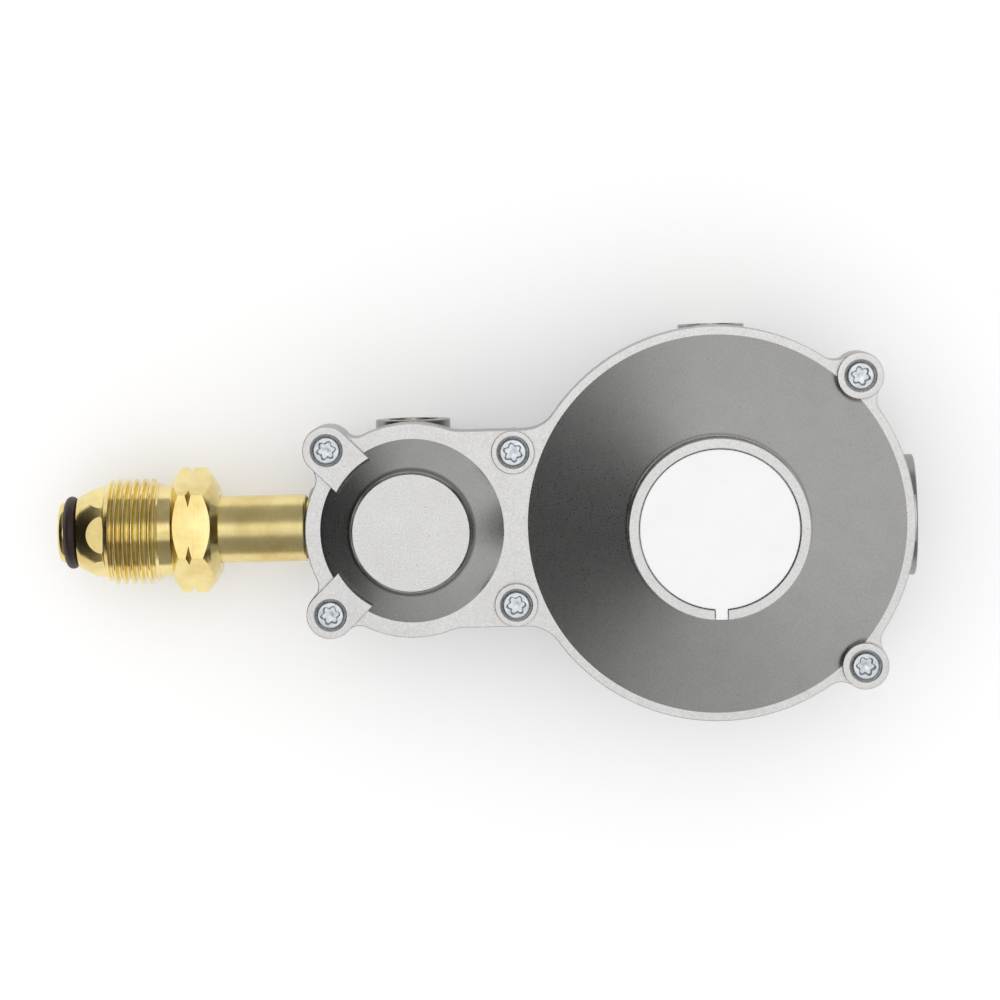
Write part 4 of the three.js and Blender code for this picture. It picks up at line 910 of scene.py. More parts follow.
def grown(name, group, values, seed_mesh=None):
    """The plain piece that a node tree makes from these input values."""
    source = new_piece(name, seed_mesh or bpy.data.meshes.new(name))
    modifier = source.modifiers.new(group.name, "NODES")
    modifier.node_group = group
    for item in group.interface.items_tree:
        if item.in_out == "INPUT" and item.name in values:
            modifier[item.identifier] = values[item.name]
    mesh = plain_mesh(source)
    bpy.data.objects.remove(source)
    return new_piece(name, mesh)


def thread_tree():
    """A screw thread along X: a tube of points whose radius follows the thread's angle and place."""
    numbers = ("Start", "Length", "Pitch", "Root radius", "Crest radius", "Taper", "Hand", "Lead-in")
    tree = NodeTree("screw_thread", {**dict.fromkeys(numbers, "Float"), "Steps round": "Int",
                                     "Steps along": "Int", "Material": "Material"})
    given, calc = tree.input, tree.calc
    add, less, times, over = tree.sums
    grid = tree.node("GeometryNodeMeshGrid", {
        "Size X": 1.0, "Size Y": 1.0, "Vertices X": given["Steps along"],
        "Vertices Y": given["Steps round"],
    }).outputs[0]
    place = tree.node("ShaderNodeSeparateXYZ", {0: tree.node("GeometryNodeInputPosition").outputs[0]})
    along = times(add(place.outputs[0], 0.5), given["Length"])
    turn = add(place.outputs[1], 0.5)
    angle_round = times(turn, math.tau)
    phase = calc("FRACT", add(over(along, given["Pitch"]), times(turn, given["Hand"])))
    rise = less(1.0, times(2.0, calc("ABSOLUTE", less(phase, 0.5))))
    inputs = {"Value": rise, "From Min": THREAD_FLANK[0], "From Max": THREAD_FLANK[1]}
    tooth = tree.node("ShaderNodeMapRange", inputs, interpolation_type="SMOOTHSTEP").outputs[0]
    depth = less(given["Crest radius"], given["Root radius"])
    plain = add(given["Root radius"], times(tooth, depth))
    to_end = calc("MINIMUM", along, less(given["Length"], along))
    cone = add(given["Root radius"], times(depth, over(to_end, given["Lead-in"])))
    radius = less(calc("MINIMUM", plain, cone), times(along, given["Taper"]))
    moved = tree.node("ShaderNodeCombineXYZ", {
        0: add(given["Start"], along),
        1: times(radius, calc("COSINE", angle_round)),
        2: times(radius, calc("SINE", angle_round)),
    }).outputs[0]
    tube = tree.node("GeometryNodeSetPosition", {"Geometry": grid, "Position": moved}).outputs[0]
    closed = tree.node("GeometryNodeMergeByDistance", {"Geometry": tube, "Distance": 1e-6}).outputs[0]
    return tree.end(closed)


def threaded_bar(start, stop, pitch, root_r, crest_r, slot, hand=1.0, taper=0.0, lead_in=1 * MM,
                 steps=14):
    """A closed bar along the port with a thread on it, to join on or to cut with, in steps to a pitch."""
    bar = grown("threaded_bar", thread_tree(), {
        "Start": start, "Length": stop - start, "Pitch": pitch, "Root radius": root_r,
        "Crest radius": crest_r, "Taper": taper, "Hand": hand, "Lead-in": lead_in,
        "Steps round": THREAD_STEPS, "Steps along": int((stop - start) / pitch * steps) + 1,
        "Material": finish(slot),
    })
    shape = bmesh.new()
    shape.from_mesh(bar.data)
    bmesh.ops.remove_doubles(shape, verts=shape.verts, dist=2e-6)
    bmesh.ops.holes_fill(shape, edges=shape.edges, sides=0)
    bmesh.ops.translate(shape, verts=shape.verts, vec=PORT)
    bmesh.ops.recalc_face_normals(shape, faces=shape.faces)
    shape.to_mesh(bar.data)
    shape.free()
    return bar


def spring_tree():
    """A coil spring standing on z = 0: a helix with closed end turns, swept by the wire's round section."""
    numbers = ("Coil radius", "Wire", "Turns", "Closed turns", "Height")
    tree = NodeTree("coil_spring", {**dict.fromkeys(numbers, "Float"), "Material": "Material"})
    given, calc = tree.input, tree.calc
    add, less, times, over = tree.sums
    line = tree.node("GeometryNodeCurvePrimitiveLine").outputs[0]
    count = tree.node("FunctionNodeFloatToInt", {0: times(given["Turns"], COIL_STEPS)}).outputs[0]
    points = tree.node("GeometryNodeResampleCurve", {"Curve": line, "Count": count}).outputs[0]
    share_along = tree.node("GeometryNodeSplineParameter").outputs[0]
    turn = times(share_along, given["Turns"])
    closed = given["Closed turns"]
    first = calc("MINIMUM", turn, closed)
    last = calc("MAXIMUM", less(turn, less(given["Turns"], closed)), 0)
    open_turns = less(given["Turns"], times(closed, 2))
    open_share = over(less(turn, add(first, last)), open_turns)
    end_rise = times(given["Wire"], CLOSED_COIL_RISE)
    ends = times(add(first, last), end_rise)
    open_height = less(less(given["Height"], given["Wire"]), times(times(closed, 2), end_rise))
    rise = add(ends, times(open_share, open_height))
    angle_round = times(turn, math.tau)
    place = tree.node("ShaderNodeCombineXYZ", {
        0: times(given["Coil radius"], calc("COSINE", angle_round)),
        1: times(given["Coil radius"], calc("SINE", angle_round)),
        2: add(rise, times(given["Wire"], 0.5)),
    }).outputs[0]
    helix = tree.node("GeometryNodeSetPosition", {"Geometry": points, "Position": place}).outputs[0]
    section = tree.node("GeometryNodeCurvePrimitiveCircle", {
        "Resolution": WIRE_SIDES, "Radius": times(given["Wire"], 0.5),
    }).outputs[0]
    wire = tree.node("GeometryNodeCurveToMesh", {
        "Curve": helix, "Profile Curve": section, "Fill Caps": True,
    }).outputs[0]
    return tree.end(wire)


def screws_tree():
    """Screws standing on points, each turned by its own random angle."""
    tree = NodeTree("screws_on_points", {"Screw": "Object", "Seed": "Int", "Material": "Material"})
    points = tree.node("GeometryNodeMeshToPoints", {"Mesh": tree.input["Geometry"]}).outputs[0]
    screw = tree.node("GeometryNodeObjectInfo", {"Object": tree.input["Screw"]}).outputs["Geometry"]
    turn = tree.node("FunctionNodeRandomValue", {"Min": (0, 0, 0), "Max": (0, 0, math.tau / 6),
                                                 "Seed": tree.input["Seed"]}, data_type="FLOAT_VECTOR")
    euler = tree.node("FunctionNodeEulerToRotation", {"Euler": turn.outputs[0]}).outputs[0]
    placed = tree.node("GeometryNodeInstanceOnPoints", {
        "Points": points, "Instance": screw, "Rotation": euler,
    }).outputs[0]
    return tree.end(placed)


# ---------------------------------------------------------------- castings


def lug_columns(low, high, low_edge, high_edge):
    """A round column below or above each screw, with rounded edges."""
    columns = []
    for spot, r in zip(SCREW_SPOTS, LUG_RADII):
        r -= BOSS_INSET
        foot = (r, low, low_edge) if low_edge else (r, low)
        head = (r, high, high_edge) if high_edge else (r, high)
        profile = softened([(0, low), foot, head, (0, high)], 9)
        columns.append(lathe(profile, at=(spot.x, spot.y, 0), steps=64))
    return columns


def screw_holes(high):
    """What drills the cover screws' holes."""
    return [rod(SCREW_HOLE_R, SCREW_HOLE_BOTTOM_Z, high, at=(s.x, s.y, 0), steps=32)
            for s in SCREW_SPOTS]


def under_cone(r):
    """Height of the second dome's ceiling at radius r."""
    slope = (CONE_HEAD_Z - FLANGE_TOP_Z) / (CONE_FOOT_R - TOWER_R)
    return FLANGE_TOP_Z + (CONE_FOOT_R - r) * slope - BONNET_WALL


class OBJECT_OT_regulator_bonnet(bpy.types.Operator):
    """Makes the bonnet: the rim, both cones, the tower, the disc, the screw bosses and their dishes"""

    bl_idname = "object.regulator_bonnet"
    bl_label = "Bonnet"

    def execute(self, context):
        s = context.scene.regulator_casting
        rim = slab(plan_outline, edges(SPLIT_Z, FLANGE_TOP_Z, SEAM_EDGE, s.flange_edge))
        deep = FLANGE_TOP_Z - PAST
        tower = lathe(softened([
            (0, deep), (CONE_FOOT_R, deep), (CONE_FOOT_R, FLANGE_TOP_Z),
            (TOWER_R, CONE_HEAD_Z, s.tower_fillet), (TOWER_R, TOWER_TOP_Z, s.tower_edge),
            (0, TOWER_TOP_Z)]), steps=192)
        slope = (FIRST_HEAD_Z - FLANGE_TOP_Z) / (FIRST_CONE_R - FIRST_HEAD_R)
        disc_foot = FLANGE_TOP_Z + (FIRST_CONE_R - DISC_R) * slope
        disc = lathe(softened([
            (0, deep), (FIRST_CONE_R, deep), (FIRST_CONE_R, FLANGE_TOP_Z),
            (DISC_R, disc_foot, s.disc_fillet), (DISC_R, DISC_TOP_Z, s.disc_edge),
            (0, DISC_TOP_Z)]), at=(FIRST_X, 0, 0), steps=144)
        arms = [slab(arm_outline(side), edges(SPLIT_Z + PAST, BOSS_TOP_Z, 0, s.boss_edge))
                for side in (1, -1)]
        bosses = lug_columns(SPLIT_Z + PAST, BOSS_TOP_Z, 0, s.boss_edge)
        bonnet = combined("bonnet", rim, [tower, disc] + bosses + arms, self.hollows(s))
        mark_shaded_walls(bonnet, BONNET_WALL_SLOPE)
        finish_piece(bonnet, "bonnet", "root", "cast_aluminium", "bonnet_casting", sharp=15)
        return {"FINISHED"}

    def hollows(self, s):
        """What is cut from the bonnet."""
        low = SPLIT_Z - PAST
        bore = SPRING_BORE_R
        dome = lathe([
            (0, low), (SECOND_CHAMBER_R, low), (SECOND_CHAMBER_R, under_cone(SECOND_CHAMBER_R)),
            (bore, under_cone(bore)), (bore, CAP_SHELF_Z), (CAP_BORE_R, CAP_SHELF_Z),
            (CAP_BORE_R, TOWER_TOP_Z - 0.15 * MM), (CAP_BORE_R + CAP_BORE_LEAD, TOWER_TOP_Z + 0.05 * MM),
            (CAP_BORE_R + CAP_BORE_LEAD, TOWER_TOP_Z + PAST), (0, TOWER_TOP_Z + PAST)], steps=160)
        small_dome = lathe(softened([
            (0, low), (FIRST_CHAMBER_R, low), (FIRST_CHAMBER_R, FLANGE_TOP_Z - FIRST_DOME_WALL),
            (FIRST_SPRING_BORE_R, FIRST_HEAD_Z - FIRST_DOME_WALL), (FIRST_SPRING_BORE_R, FIRST_ROOF_Z),
            (0, FIRST_ROOF_Z)]), at=(FIRST_X, 0, 0))
        recesses = [rod(r + SEAL_LAND, low, RECESS_TOP_Z, at=(x, 0, 0), steps=128)
                    for x, r in ((FIRST_X, FIRST_CHAMBER_R), (0, SECOND_CHAMBER_R))]
        half = NOTCH_WIDTH / 2
        notch = block(-half, half, -TOWER_R - PAST, -bore - PAST, CAP_SHELF_Z, TOWER_TOP_Z + PAST)
        vent = block(FIRST_X + FIRST_CHAMBER_R - PAST, PAST - SECOND_CHAMBER_R, -PAST, PAST, low,
                     RECESS_TOP_Z + VENT_RISE)
        dishes = []
        for spot in SCREW_SPOTS:
            quarter = [math.sin(math.pi / 2 * k / 10) for k in range(11)]
            sweep = [(DISH_WALL_R + (s.dish_radius - DISH_WALL_R) * a,
                      BOSS_TOP_Z - s.dish_edge * (1 - a) ** 1.6) for a in quarter]
            profile = [(0, SCREW_SEAT_Z), (DISH_WALL_R, SCREW_SEAT_Z)] + sweep + [
                (s.dish_radius, BOSS_TOP_Z + PAST), (0, BOSS_TOP_Z + PAST)]
            dishes.append(lathe(profile, at=(spot.x, spot.y, 0), steps=48))
        return [dome, small_dome, notch, vent] + recesses + dishes + screw_holes(FLANGE_TOP_Z)


class OBJECT_OT_regulator_body(bpy.types.Operator):
    """Makes the body: the flange, both bowls, the web between them and the four ports"""

    bl_idname = "object.regulator_body"
    bl_label = "Body"

    def execute(self, context):
        flange = slab(plan_outline, edges(SKIRT_Z, SPLIT_Z, SKIRT_EDGE, SEAM_EDGE))
        join_z = SKIRT_Z + PAST
        web = slab(rectangle(-WEB_HALF, WEB_HALF, WEB_BOTTOM_Z, join_z, WEB_EDGE),
                   [(0, FIRST_X), (0, 0)], axis="x")
        inlet = self.boss(INLET_BOSS_R, FIRST_X, INLET_FACE_X, "x", PORT, INLET_FACE_EDGE)
        outlet = self.boss(OUTLET_BOSS_R, 0, OUTLET_FACE_X, "x", PORT)
        ports = [self.boss(r, 0, face, "y", (x, 0, GAUGE_Z)) for _, x, face, r in GAUGE_PORTS]
        bowls = [self.bowl(0, base_r=SECOND_FLOOR_R + 2.5 * MM, knee_r=SECOND_FLOOR_R + 4 * MM,
                           knee_z=2.5 * MM, top_r=SECOND_CHAMBER_R + 3.5 * MM,
                           edge_r=SECOND_FLANGE_R - MM, fillet=1.6 * MM),
                 self.bowl(FIRST_X, base_r=FIRST_CHAMBER_R + 0.5 * MM, knee_r=FIRST_CHAMBER_R + 1.9 * MM,
                           knee_z=2 * MM, top_r=FIRST_CHAMBER_R + 3.9 * MM,
                           edge_r=FIRST_FLANGE_R - MM, fillet=0.8 * MM)]
        adds = bowls + [web, inlet, outlet] + ports + lug_columns(LUG_BOTTOM_Z, join_z, LUG_EDGE, 0)
        body = combined("body", flange, adds, self.hollows())
        body = combined("body", body, self.pads(), self.small_holes())
        mark_shaded_walls(body, BODY_WALL_SLOPE)
        finish_piece(body, "body", "root", "cast_aluminium", "body_casting", sharp=15)
        return {"FINISHED"}

    def boss(self, r, start, face, axis, at, edge=BOSS_FACE_EDGE):
        """A round boss from start to its face, with the face's edge rounded."""
        profile = softened([(0, start), (r, start), (r, face, edge), (0, face)], 9)
        return lathe(profile, axis, at, 96)

    def bowl(self, x, base_r, knee_r, knee_z, top_r, edge_r, fillet):
        """A bowl with a rounded foot, and a hollow rounding below the flange."""
        seam = SKIRT_Z + 0.02 * MM
        profile = softened([
            (0, 0), (base_r, 0, BOWL_FOOT_EDGE), (knee_r, knee_z, BOWL_KNEE_EDGE), (top_r, seam, fillet),
            (edge_r, seam), (edge_r, SKIRT_Z + PAST), (0, SKIRT_Z + PAST)])
        return lathe(profile, at=(x, 0, 0), steps=144)

    def hollows(self):
        """What is cut from the body."""
        high = SPLIT_Z + PAST
        chamber = lathe(softened([
            (0, SECOND_FLOOR_Z), (SECOND_FLOOR_R, SECOND_FLOOR_Z), (SECOND_CHAMBER_R, SKIRT_Z),
            (SECOND_CHAMBER_R, high), (0, high)]), steps=144)
        small_chamber = rod(FIRST_CHAMBER_R, FIRST_FLOOR_Z, high, at=(FIRST_X, 0, 0), steps=128)
        thread_start = OUTLET_FACE_X - OUTLET_DEPTH
        socket = threaded_bar(thread_start, OUTLET_FACE_X + PAST, OUTLET_PITCH, OUTLET_CREST_R,
                              OUTLET_ROOT_R, "cast_aluminium", hand=-1.0, taper=-OUTLET_TAPER,
                              lead_in=0.4 * MM)
        mouth_x = OUTLET_FACE_X - OUTLET_MOUTH_DEPTH
        mouth = lathe([(0, mouth_x), (OUTLET_MOUTH_FLOOR_R, mouth_x), (OUTLET_MOUTH_R, OUTLET_FACE_X),
                       (OUTLET_MOUTH_R, OUTLET_FACE_X + PAST), (0, OUTLET_FACE_X + PAST)], "x", PORT)
        along = [rod(OUTLET_PASSAGE_R, SECOND_FLOOR_R, thread_start + PAST, "x", PORT),
                 rod(INLET_HOLE_R, INLET_FACE_X - PAST, FIRST_X, "x", PORT),
                 rod(JET_HOLE_R, JET_HOLE_END_X, 0, "x", PORT),
                 rod(PASSAGE_R, FIRST_X, JET_HOLE_END_X + PAST, "x", PORT)]
        holes = []
        for node, x, face, _ in GAUGE_PORTS:
            bottom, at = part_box(node)[0].y - SEAT_GAP, (x, 0, GAUGE_Z)
            holes.append(rod(PLUG_R + PLUG_GAP, bottom, face + PAST, "y", at))
            holes.append(rod(GAUGE_PASSAGE_R, bottom - GAUGE_PASSAGE_LENGTH, bottom + PAST, "y", at, 32))
        return [chamber, small_chamber, socket, mouth] + along + holes + screw_holes(high)

    def pads(self):
        """The pads on the second chamber's floor that carry its valve carrier's feet."""
        low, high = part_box("second_stage_valve_carrier")
        outer_y = high.y + PAD_MARGIN
        return [slab(rectangle(low.x - PAD_MARGIN, high.x + PAD_MARGIN, *ys),
                     [(0, SECOND_FLOOR_Z - PAST), (0, low.z - SEAT_GAP)])
                for ys in ((PAD_INNER_Y, outer_y), (-outer_y, -PAD_INNER_Y))]

    def small_holes(self):
        """Blind holes for the valve carriers' small screws."""
        holes = []
        for node in (f"{stage}_carrier_screw_{i}" for stage in STAGES for i in (1, 2)):
            spot, low_z = middle(node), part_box(node)[0].z
            holes.append(rod(CARRIER_SCREW_R, low_z - SEAT_GAP, low_z + CARRIER_SCREW_DEPTH,
                             at=(spot.x, spot.y, 0), steps=24))
        return holes


# ---------------------------------------------------------------- screws and plugs


class OBJECT_OT_regulator_cover_screws(bpy.types.Operator):
    """Makes one six-lobe screw and stands it, turned at random, in each of the six dishes"""

    bl_idname = "object.regulator_cover_screws"
    bl_label = "Cover screws"

    def execute(self, context):
        s = context.scene.regulator_fasteners
        screw = self.screw(s)
        seats = bpy.data.meshes.new("screw_seats")
        seat_z = SCREW_SEAT_Z + SEAT_GAP
        seats.from_pydata([(p.x, p.y, seat_z) for p in SCREW_SPOTS], [], [])
        values = {"Screw": screw, "Seed": s.turn_seed, "Material": finish("zinc_plate")}
        screws = grown("cover_screws", screws_tree(), values, seats)
        bpy.data.objects.remove(screw)
        finish_piece(screws, "cover_screws", "root", "zinc_plate", *SCREW_NODES, sharp=35)
        return {"FINISHED"}

    def screw(self, s):
        """A screw with its seat at the origin."""
        top, tip = SCREW_HEAD_HEIGHT, -SCREW_LENGTH
        shape = lathe(softened([
            (0, tip), (SCREW_SHANK_R - CHAMFER, tip), (SCREW_SHANK_R, tip + CHAMFER), (SCREW_SHANK_R, 0),
            (SCREW_HEAD_R, 0, 0.12 * MM), (SCREW_HEAD_R, top, 0.22 * MM), (0, top)], 9), steps=64)
        floor = top - s.recess_depth
        recess = slab(lobes(s.lobe_radius, s.waist_radius), [
            (-0.12 * MM, top + 0.05 * MM), (0, top - 0.1 * MM), (0.05 * MM, floor + 0.2 * MM),
            (0.3 * MM, floor)])
        point = lathe([(0, floor - 0.22 * MM), (0.4 * MM, floor - 0.22 * MM), (RECESS_POINT_R, floor),
                       (RECESS_POINT_R, floor + 0.1 * MM), (0, floor + 0.1 * MM)], steps=32)
        return combined("screw", shape, cuts=[recess, point])


class OBJECT_OT_regulator_gauge_plugs(bpy.types.Operator):
    """Makes the socket-head plug in each gauge port"""

    bl_idname = "object.regulator_gauge_plugs"
    bl_label = "Gauge plugs"

    def execute(self, context):
        s = context.scene.regulator_fasteners
        for node, x, _, _ in GAUGE_PORTS:
            inner, outer = (corner.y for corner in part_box(node))
            at, floor = (x, 0, GAUGE_Z), outer - PLUG_SOCKET_DEPTH
            plug = lathe(softened([
                (0, inner), (PLUG_R - CHAMFER, inner), (PLUG_R, inner + CHAMFER),
                (PLUG_R, outer, 0.45 * MM), (0, outer)]), "y", at)
            socket = slab(hexagon(s.socket_flats), [
                (0.3 * MM, floor - 0.3 * MM), (0, floor), (0, outer - 0.3 * MM),
                (-0.35 * MM, outer + 0.05 * MM)], "y", at)
            point = lathe([(0, outer - PLUG_POINT_DEPTH), (2 * MM, floor), (0, floor)], "y", at, 48)
            piece = combined(node, plug, cuts=[socket, point])
            finish_piece(piece, node + "_piece", "root", "brass", node)
        return {"FINISHED"}


# ---------------------------------------------------------------- brass inlet


class OBJECT_OT_regulator_inlet_tube(bpy.types.Operator):
    """Makes the inlet's tube, its faceted nose and its O-ring groove"""

    bl_idname = "object.regulator_inlet_tube"
    bl_label = "Inlet tube"

    def execute(self, context):
        s = context.scene.regulator_brass
        tip_x, inner_x = TAIL_LOW.x, TAIL_HIGH.x
        tube = lathe(softened([
            (0, tip_x), (TIP_R, tip_x, 1.2 * MM), (TIP_R, GROOVE_FRONT_X),
            (GROOVE_R, GROOVE_FRONT_X, 0.2 * MM), (GROOVE_R, NOSE_START_X + PAST),
            (TUBE_R, NOSE_START_X + PAST), (TUBE_R, TUBE_END_X, 0.85 * MM),
            (INLET_RELIEF_R, TUBE_END_X), (INLET_RELIEF_R, INLET_FACE_X),
            (INLET_THREAD_R, INLET_FACE_X + CHAMFER), (INLET_THREAD_R, inner_x - CHAMFER),
            (INLET_THREAD_R - CHAMFER, inner_x), (0, inner_x)]), "x", PORT, 160)
        nose = lathe(self.nose_profile(), "x", PORT, 160)
        facets = slab(hexagon(s.facet_flats, s.facet_turn),
                      [(0, NOSE_START_X - PAST), (0, NOSE_END_X + PAST)], "x", PORT)
        nose = combined("nose", nose, keeps=[facets])
        seat_x = inner_x - SCREEN_SEAT_DEPTH
        bore = lathe([
            (0, tip_x - PAST), (BRASS_BORE_R + 1.5 * MM, tip_x - PAST), (BRASS_BORE_R, tip_x + 0.5 * MM),
            (BRASS_BORE_R, seat_x), (SCREEN_SEAT_R, seat_x), (SCREEN_SEAT_R, inner_x + PAST),
            (0, inner_x + PAST)], "x", PORT)
        piece = combined("inlet_tube", tube, [nose], [bore])
        finish_piece(piece, "inlet_tube", "root", "brass", "pol_tailpiece", sharp=20)
        return {"FINISHED"}

    def nose_profile(self):
        """The nose swells from the O-ring's groove to its shoulder."""
        span_x = NOSE_END_X - NOSE_START_X
        bulge = [(NOSE_SMALL_R + (NOSE_BIG_R - NOSE_SMALL_R) * math.sin(math.pi / 2 * k / 12),
                  NOSE_START_X + span_x * k / 12) for k in range(13)]
        lead = [(0, NOSE_START_X), (NOSE_SMALL_R - 0.08 * MM, NOSE_START_X)]
        return lead + bulge[1:12] + [(NOSE_BIG_R, NOSE_END_X - 0.25 * MM),
                                     (NOSE_BIG_R - 0.25 * MM, NOSE_END_X), (0, NOSE_END_X)]


class OBJECT_OT_regulator_inlet_nut(bpy.types.Operator):
    """Makes the inlet nut: a left-hand thread, its relief neck and the grooved hexagon"""

    bl_idname = "object.regulator_inlet_nut"
    bl_label = "Inlet nut"

    def execute(self, context):
        s = context.scene.regulator_brass
        start, end = NUT_LOW.x, NUT_HIGH.x
        thread = threaded_bar(start, THREAD_END_X, s.thread_pitch, s.thread_root, s.thread_crest,
                              "brass", lead_in=1.5 * MM, steps=22)
        neck = lathe(softened([
            (0, THREAD_END_X - PAST), (RELIEF_R, THREAD_END_X - PAST),
            (RELIEF_R, HEX_START_X + 0.1 * MM, 0.4 * MM), (RELIEF_R + 0.8 * MM, HEX_START_X + 0.1 * MM),
            (RELIEF_R + 0.8 * MM, HEX_START_X + PAST), (0, HEX_START_X + PAST)]), "x", PORT, 128)
        corner = s.hex_flats / math.sqrt(3) + 0.1 * MM
        half = s.groove_width / 2
        bar = lathe(softened([
            (0, HEX_START_X), (HEX_FRONT_R, HEX_START_X, 0.3 * MM),
            (corner, HEX_START_X + HEX_FRONT_LENGTH, 0.3 * MM), (corner, GROOVE_X - half),
            (corner - s.groove_depth, GROOVE_X, 0.08 * MM), (corner, GROOVE_X + half),
            (corner, end - HEX_BACK_LENGTH, 0.4 * MM), (HEX_KNEE_R, end - HEX_KNEE_LENGTH, 0.6 * MM),
            (HEX_BACK_R, end, 0.3 * MM), (0, end)]), "x", PORT, 192)
        flats = slab(hexagon(s.hex_flats, s.hex_turn),
                     [(0, HEX_START_X - PAST), (0, end + PAST)], "x", PORT)
        hexagonal = combined("hexagonal", bar, keeps=[flats])
        bore = rod(TUBE_R + 0.1 * MM, start - PAST, end + PAST, "x", PORT, 96)
        piece = combined("inlet_nut", hexagonal, [neck, thread], [bore])
        finish_piece(piece, "inlet_nut", "pol_nut", "brass", "pol_nut", sharp=22,
                     smooth=(start + 0.1 * MM, THREAD_END_X - 0.1 * MM))
        return {"FINISHED"}


class OBJECT_OT_regulator_o_ring(bpy.types.Operator):
    """Makes the O-ring in the nose's groove"""

    bl_idname = "object.regulator_o_ring"
    bl_label = "O-ring"

    def execute(self, context):
        r = (RING_HIGH.x - RING_LOW.x) / 2
        section = arc(GROOVE_R + SEAT_GAP + r, (RING_HIGH.x + RING_LOW.x) / 2, r, 0, 360, 12)[:-1]
        ring = lathe(section, "x", PORT, 128)
        finish_piece(ring, "o_ring", "root", "rubber", "pol_o_ring", sharp=60)
        return {"FINISHED"}


# ---------------------------------------------------------------- cap and adjuster


class OBJECT_OT_regulator_cap(bpy.types.Operator):
    """Makes the closing cap with the key that stands in the tower's notch"""

    bl_idname = "object.regulator_cap"
    bl_label = "Closing cap"

    def execute(self, context):
        s = context.scene.regulator_cap
        r, low, top = CAP_HIGH.x, CAP_LOW.z, CAP_HIGH.z
        shell = lathe(softened([(0, low), (r, low), (r, top, s.edge), (0, top)]), steps=160)
        half = NOTCH_WIDTH / 2 - 0.15 * MM
        key = slab(rectangle(-half, half, CAP_LOW.y, PAST - r, 0.3 * MM), edges(low, top, 0, 0.8 * s.edge))
        inner_r, roof = r - 1.4 * MM, top - 1.8 * MM
        hollow = lathe(softened([(0, low - PAST), (inner_r, low - PAST), (inner_r, roof, 0.5 * MM),
                                 (0, roof)]), steps=128)
        rib_low, rib_top = low + 0.6 * MM, top - 1.5 * MM
        ribs = [block(-0.5 * MM, 0.5 * MM, 3 * MM, r - MM, rib_low, rib_top) for _ in range(6)]
        for k, rib in enumerate(ribs):
            rib.data.transform(Matrix.Rotation(math.radians(60 * k), 4, "Z"))
        boss = rod(3.5 * MM, rib_low, rib_top)
        cap = combined("closing_cap", shell, [key], [hollow])
        cap = combined("closing_cap", cap, ribs + [boss])
        finish_piece(cap, "cap", "closing_cap", "white_plastic", "closing_cap")
        return {"FINISHED"}


class OBJECT_OT_regulator_adjuster(bpy.types.Operator):
    """Makes the adjusting screw: its rim, its well, the bar across it and the breather hole"""

    bl_idname = "object.regulator_adjuster"
    bl_label = "Adjusting screw"

    def execute(self, context):
        r, low, top = ADJUSTER_HIGH.x, ADJUSTER_LOW.z, ADJUSTER_HIGH.z
        disc = lathe(softened([
            (0, low), (r - CHAMFER, low), (r, low + CHAMFER), (r, top, CHAMFER), (0, top)]), steps=144)
        well_r = r - 3 * MM
        floor = top - 2.5 * MM
        well = lathe(softened([(0, floor), (well_r, floor, 0.6 * MM), (well_r, top - 0.3 * MM),
                               (well_r + 0.35 * MM, top + 0.05 * MM), (0, top + 0.05 * MM)]), steps=128)
        bar = slab(rectangle(-well_r - MM, well_r + MM, -1.5 * MM, 1.5 * MM, 0.2 * MM),
                   edges(floor - 0.5 * MM, top - 0.1 * MM, 0, 0.3 * MM))
        hole = rod(2 * MM, low - PAST, top + PAST)
        piece = combined("adjuster", disc, cuts=[well])
        piece = combined("adjuster", piece, [bar], [hole])
        finish_piece(piece, "adjuster", "adjusting_screw", "black_plastic", "adjusting_screw")
        return {"FINISHED"}


# ---------------------------------------------------------------- works


class OBJECT_OT_regulator_springs(bpy.types.Operator):
    """Winds the two main springs and the relief spring"""

    bl_idname = "object.regulator_springs"
    bl_label = "Springs"

    def execute(self, context):
        s = context.scene.regulator_works
        springs = (("second_stage_spring", s.main_wire, 5, 1.0, "adjuster_spring_seat",
                    "second_stage_diaphragm_lift", SECOND_LIFT),
                   ("first_stage_spring", s.first_wire, 4, 1.0, "root",
                    "first_stage_diaphragm_lift", FIRST_LIFT),
                   ("second_stage_relief_spring", s.relief_wire, 3, 0.5, "second_stage_post",
                    "second_stage_relief_lift", RELIEF_LIFT))
        tree = spring_tree()
        for node, wire, turns, closed, body, joint, stroke in springs:
            low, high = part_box(node)
            centre = middle(node)
            height = high.z - low.z
            radius = high.y - centre.y - wire / 2
            spring = grown(node, tree, {
                "Coil radius": radius, "Wire": wire, "Turns": float(turns), "Closed turns": closed,
                "Height": height, "Material": finish("spring_steel")})
            spring.data.transform(Matrix.Translation((round(centre.x, 4), 0, low.z)))
            finish_piece(spring, node + "_wire", body, "spring_steel", node, sharp=60)
            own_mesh(spring)
        return {"FINISHED"}


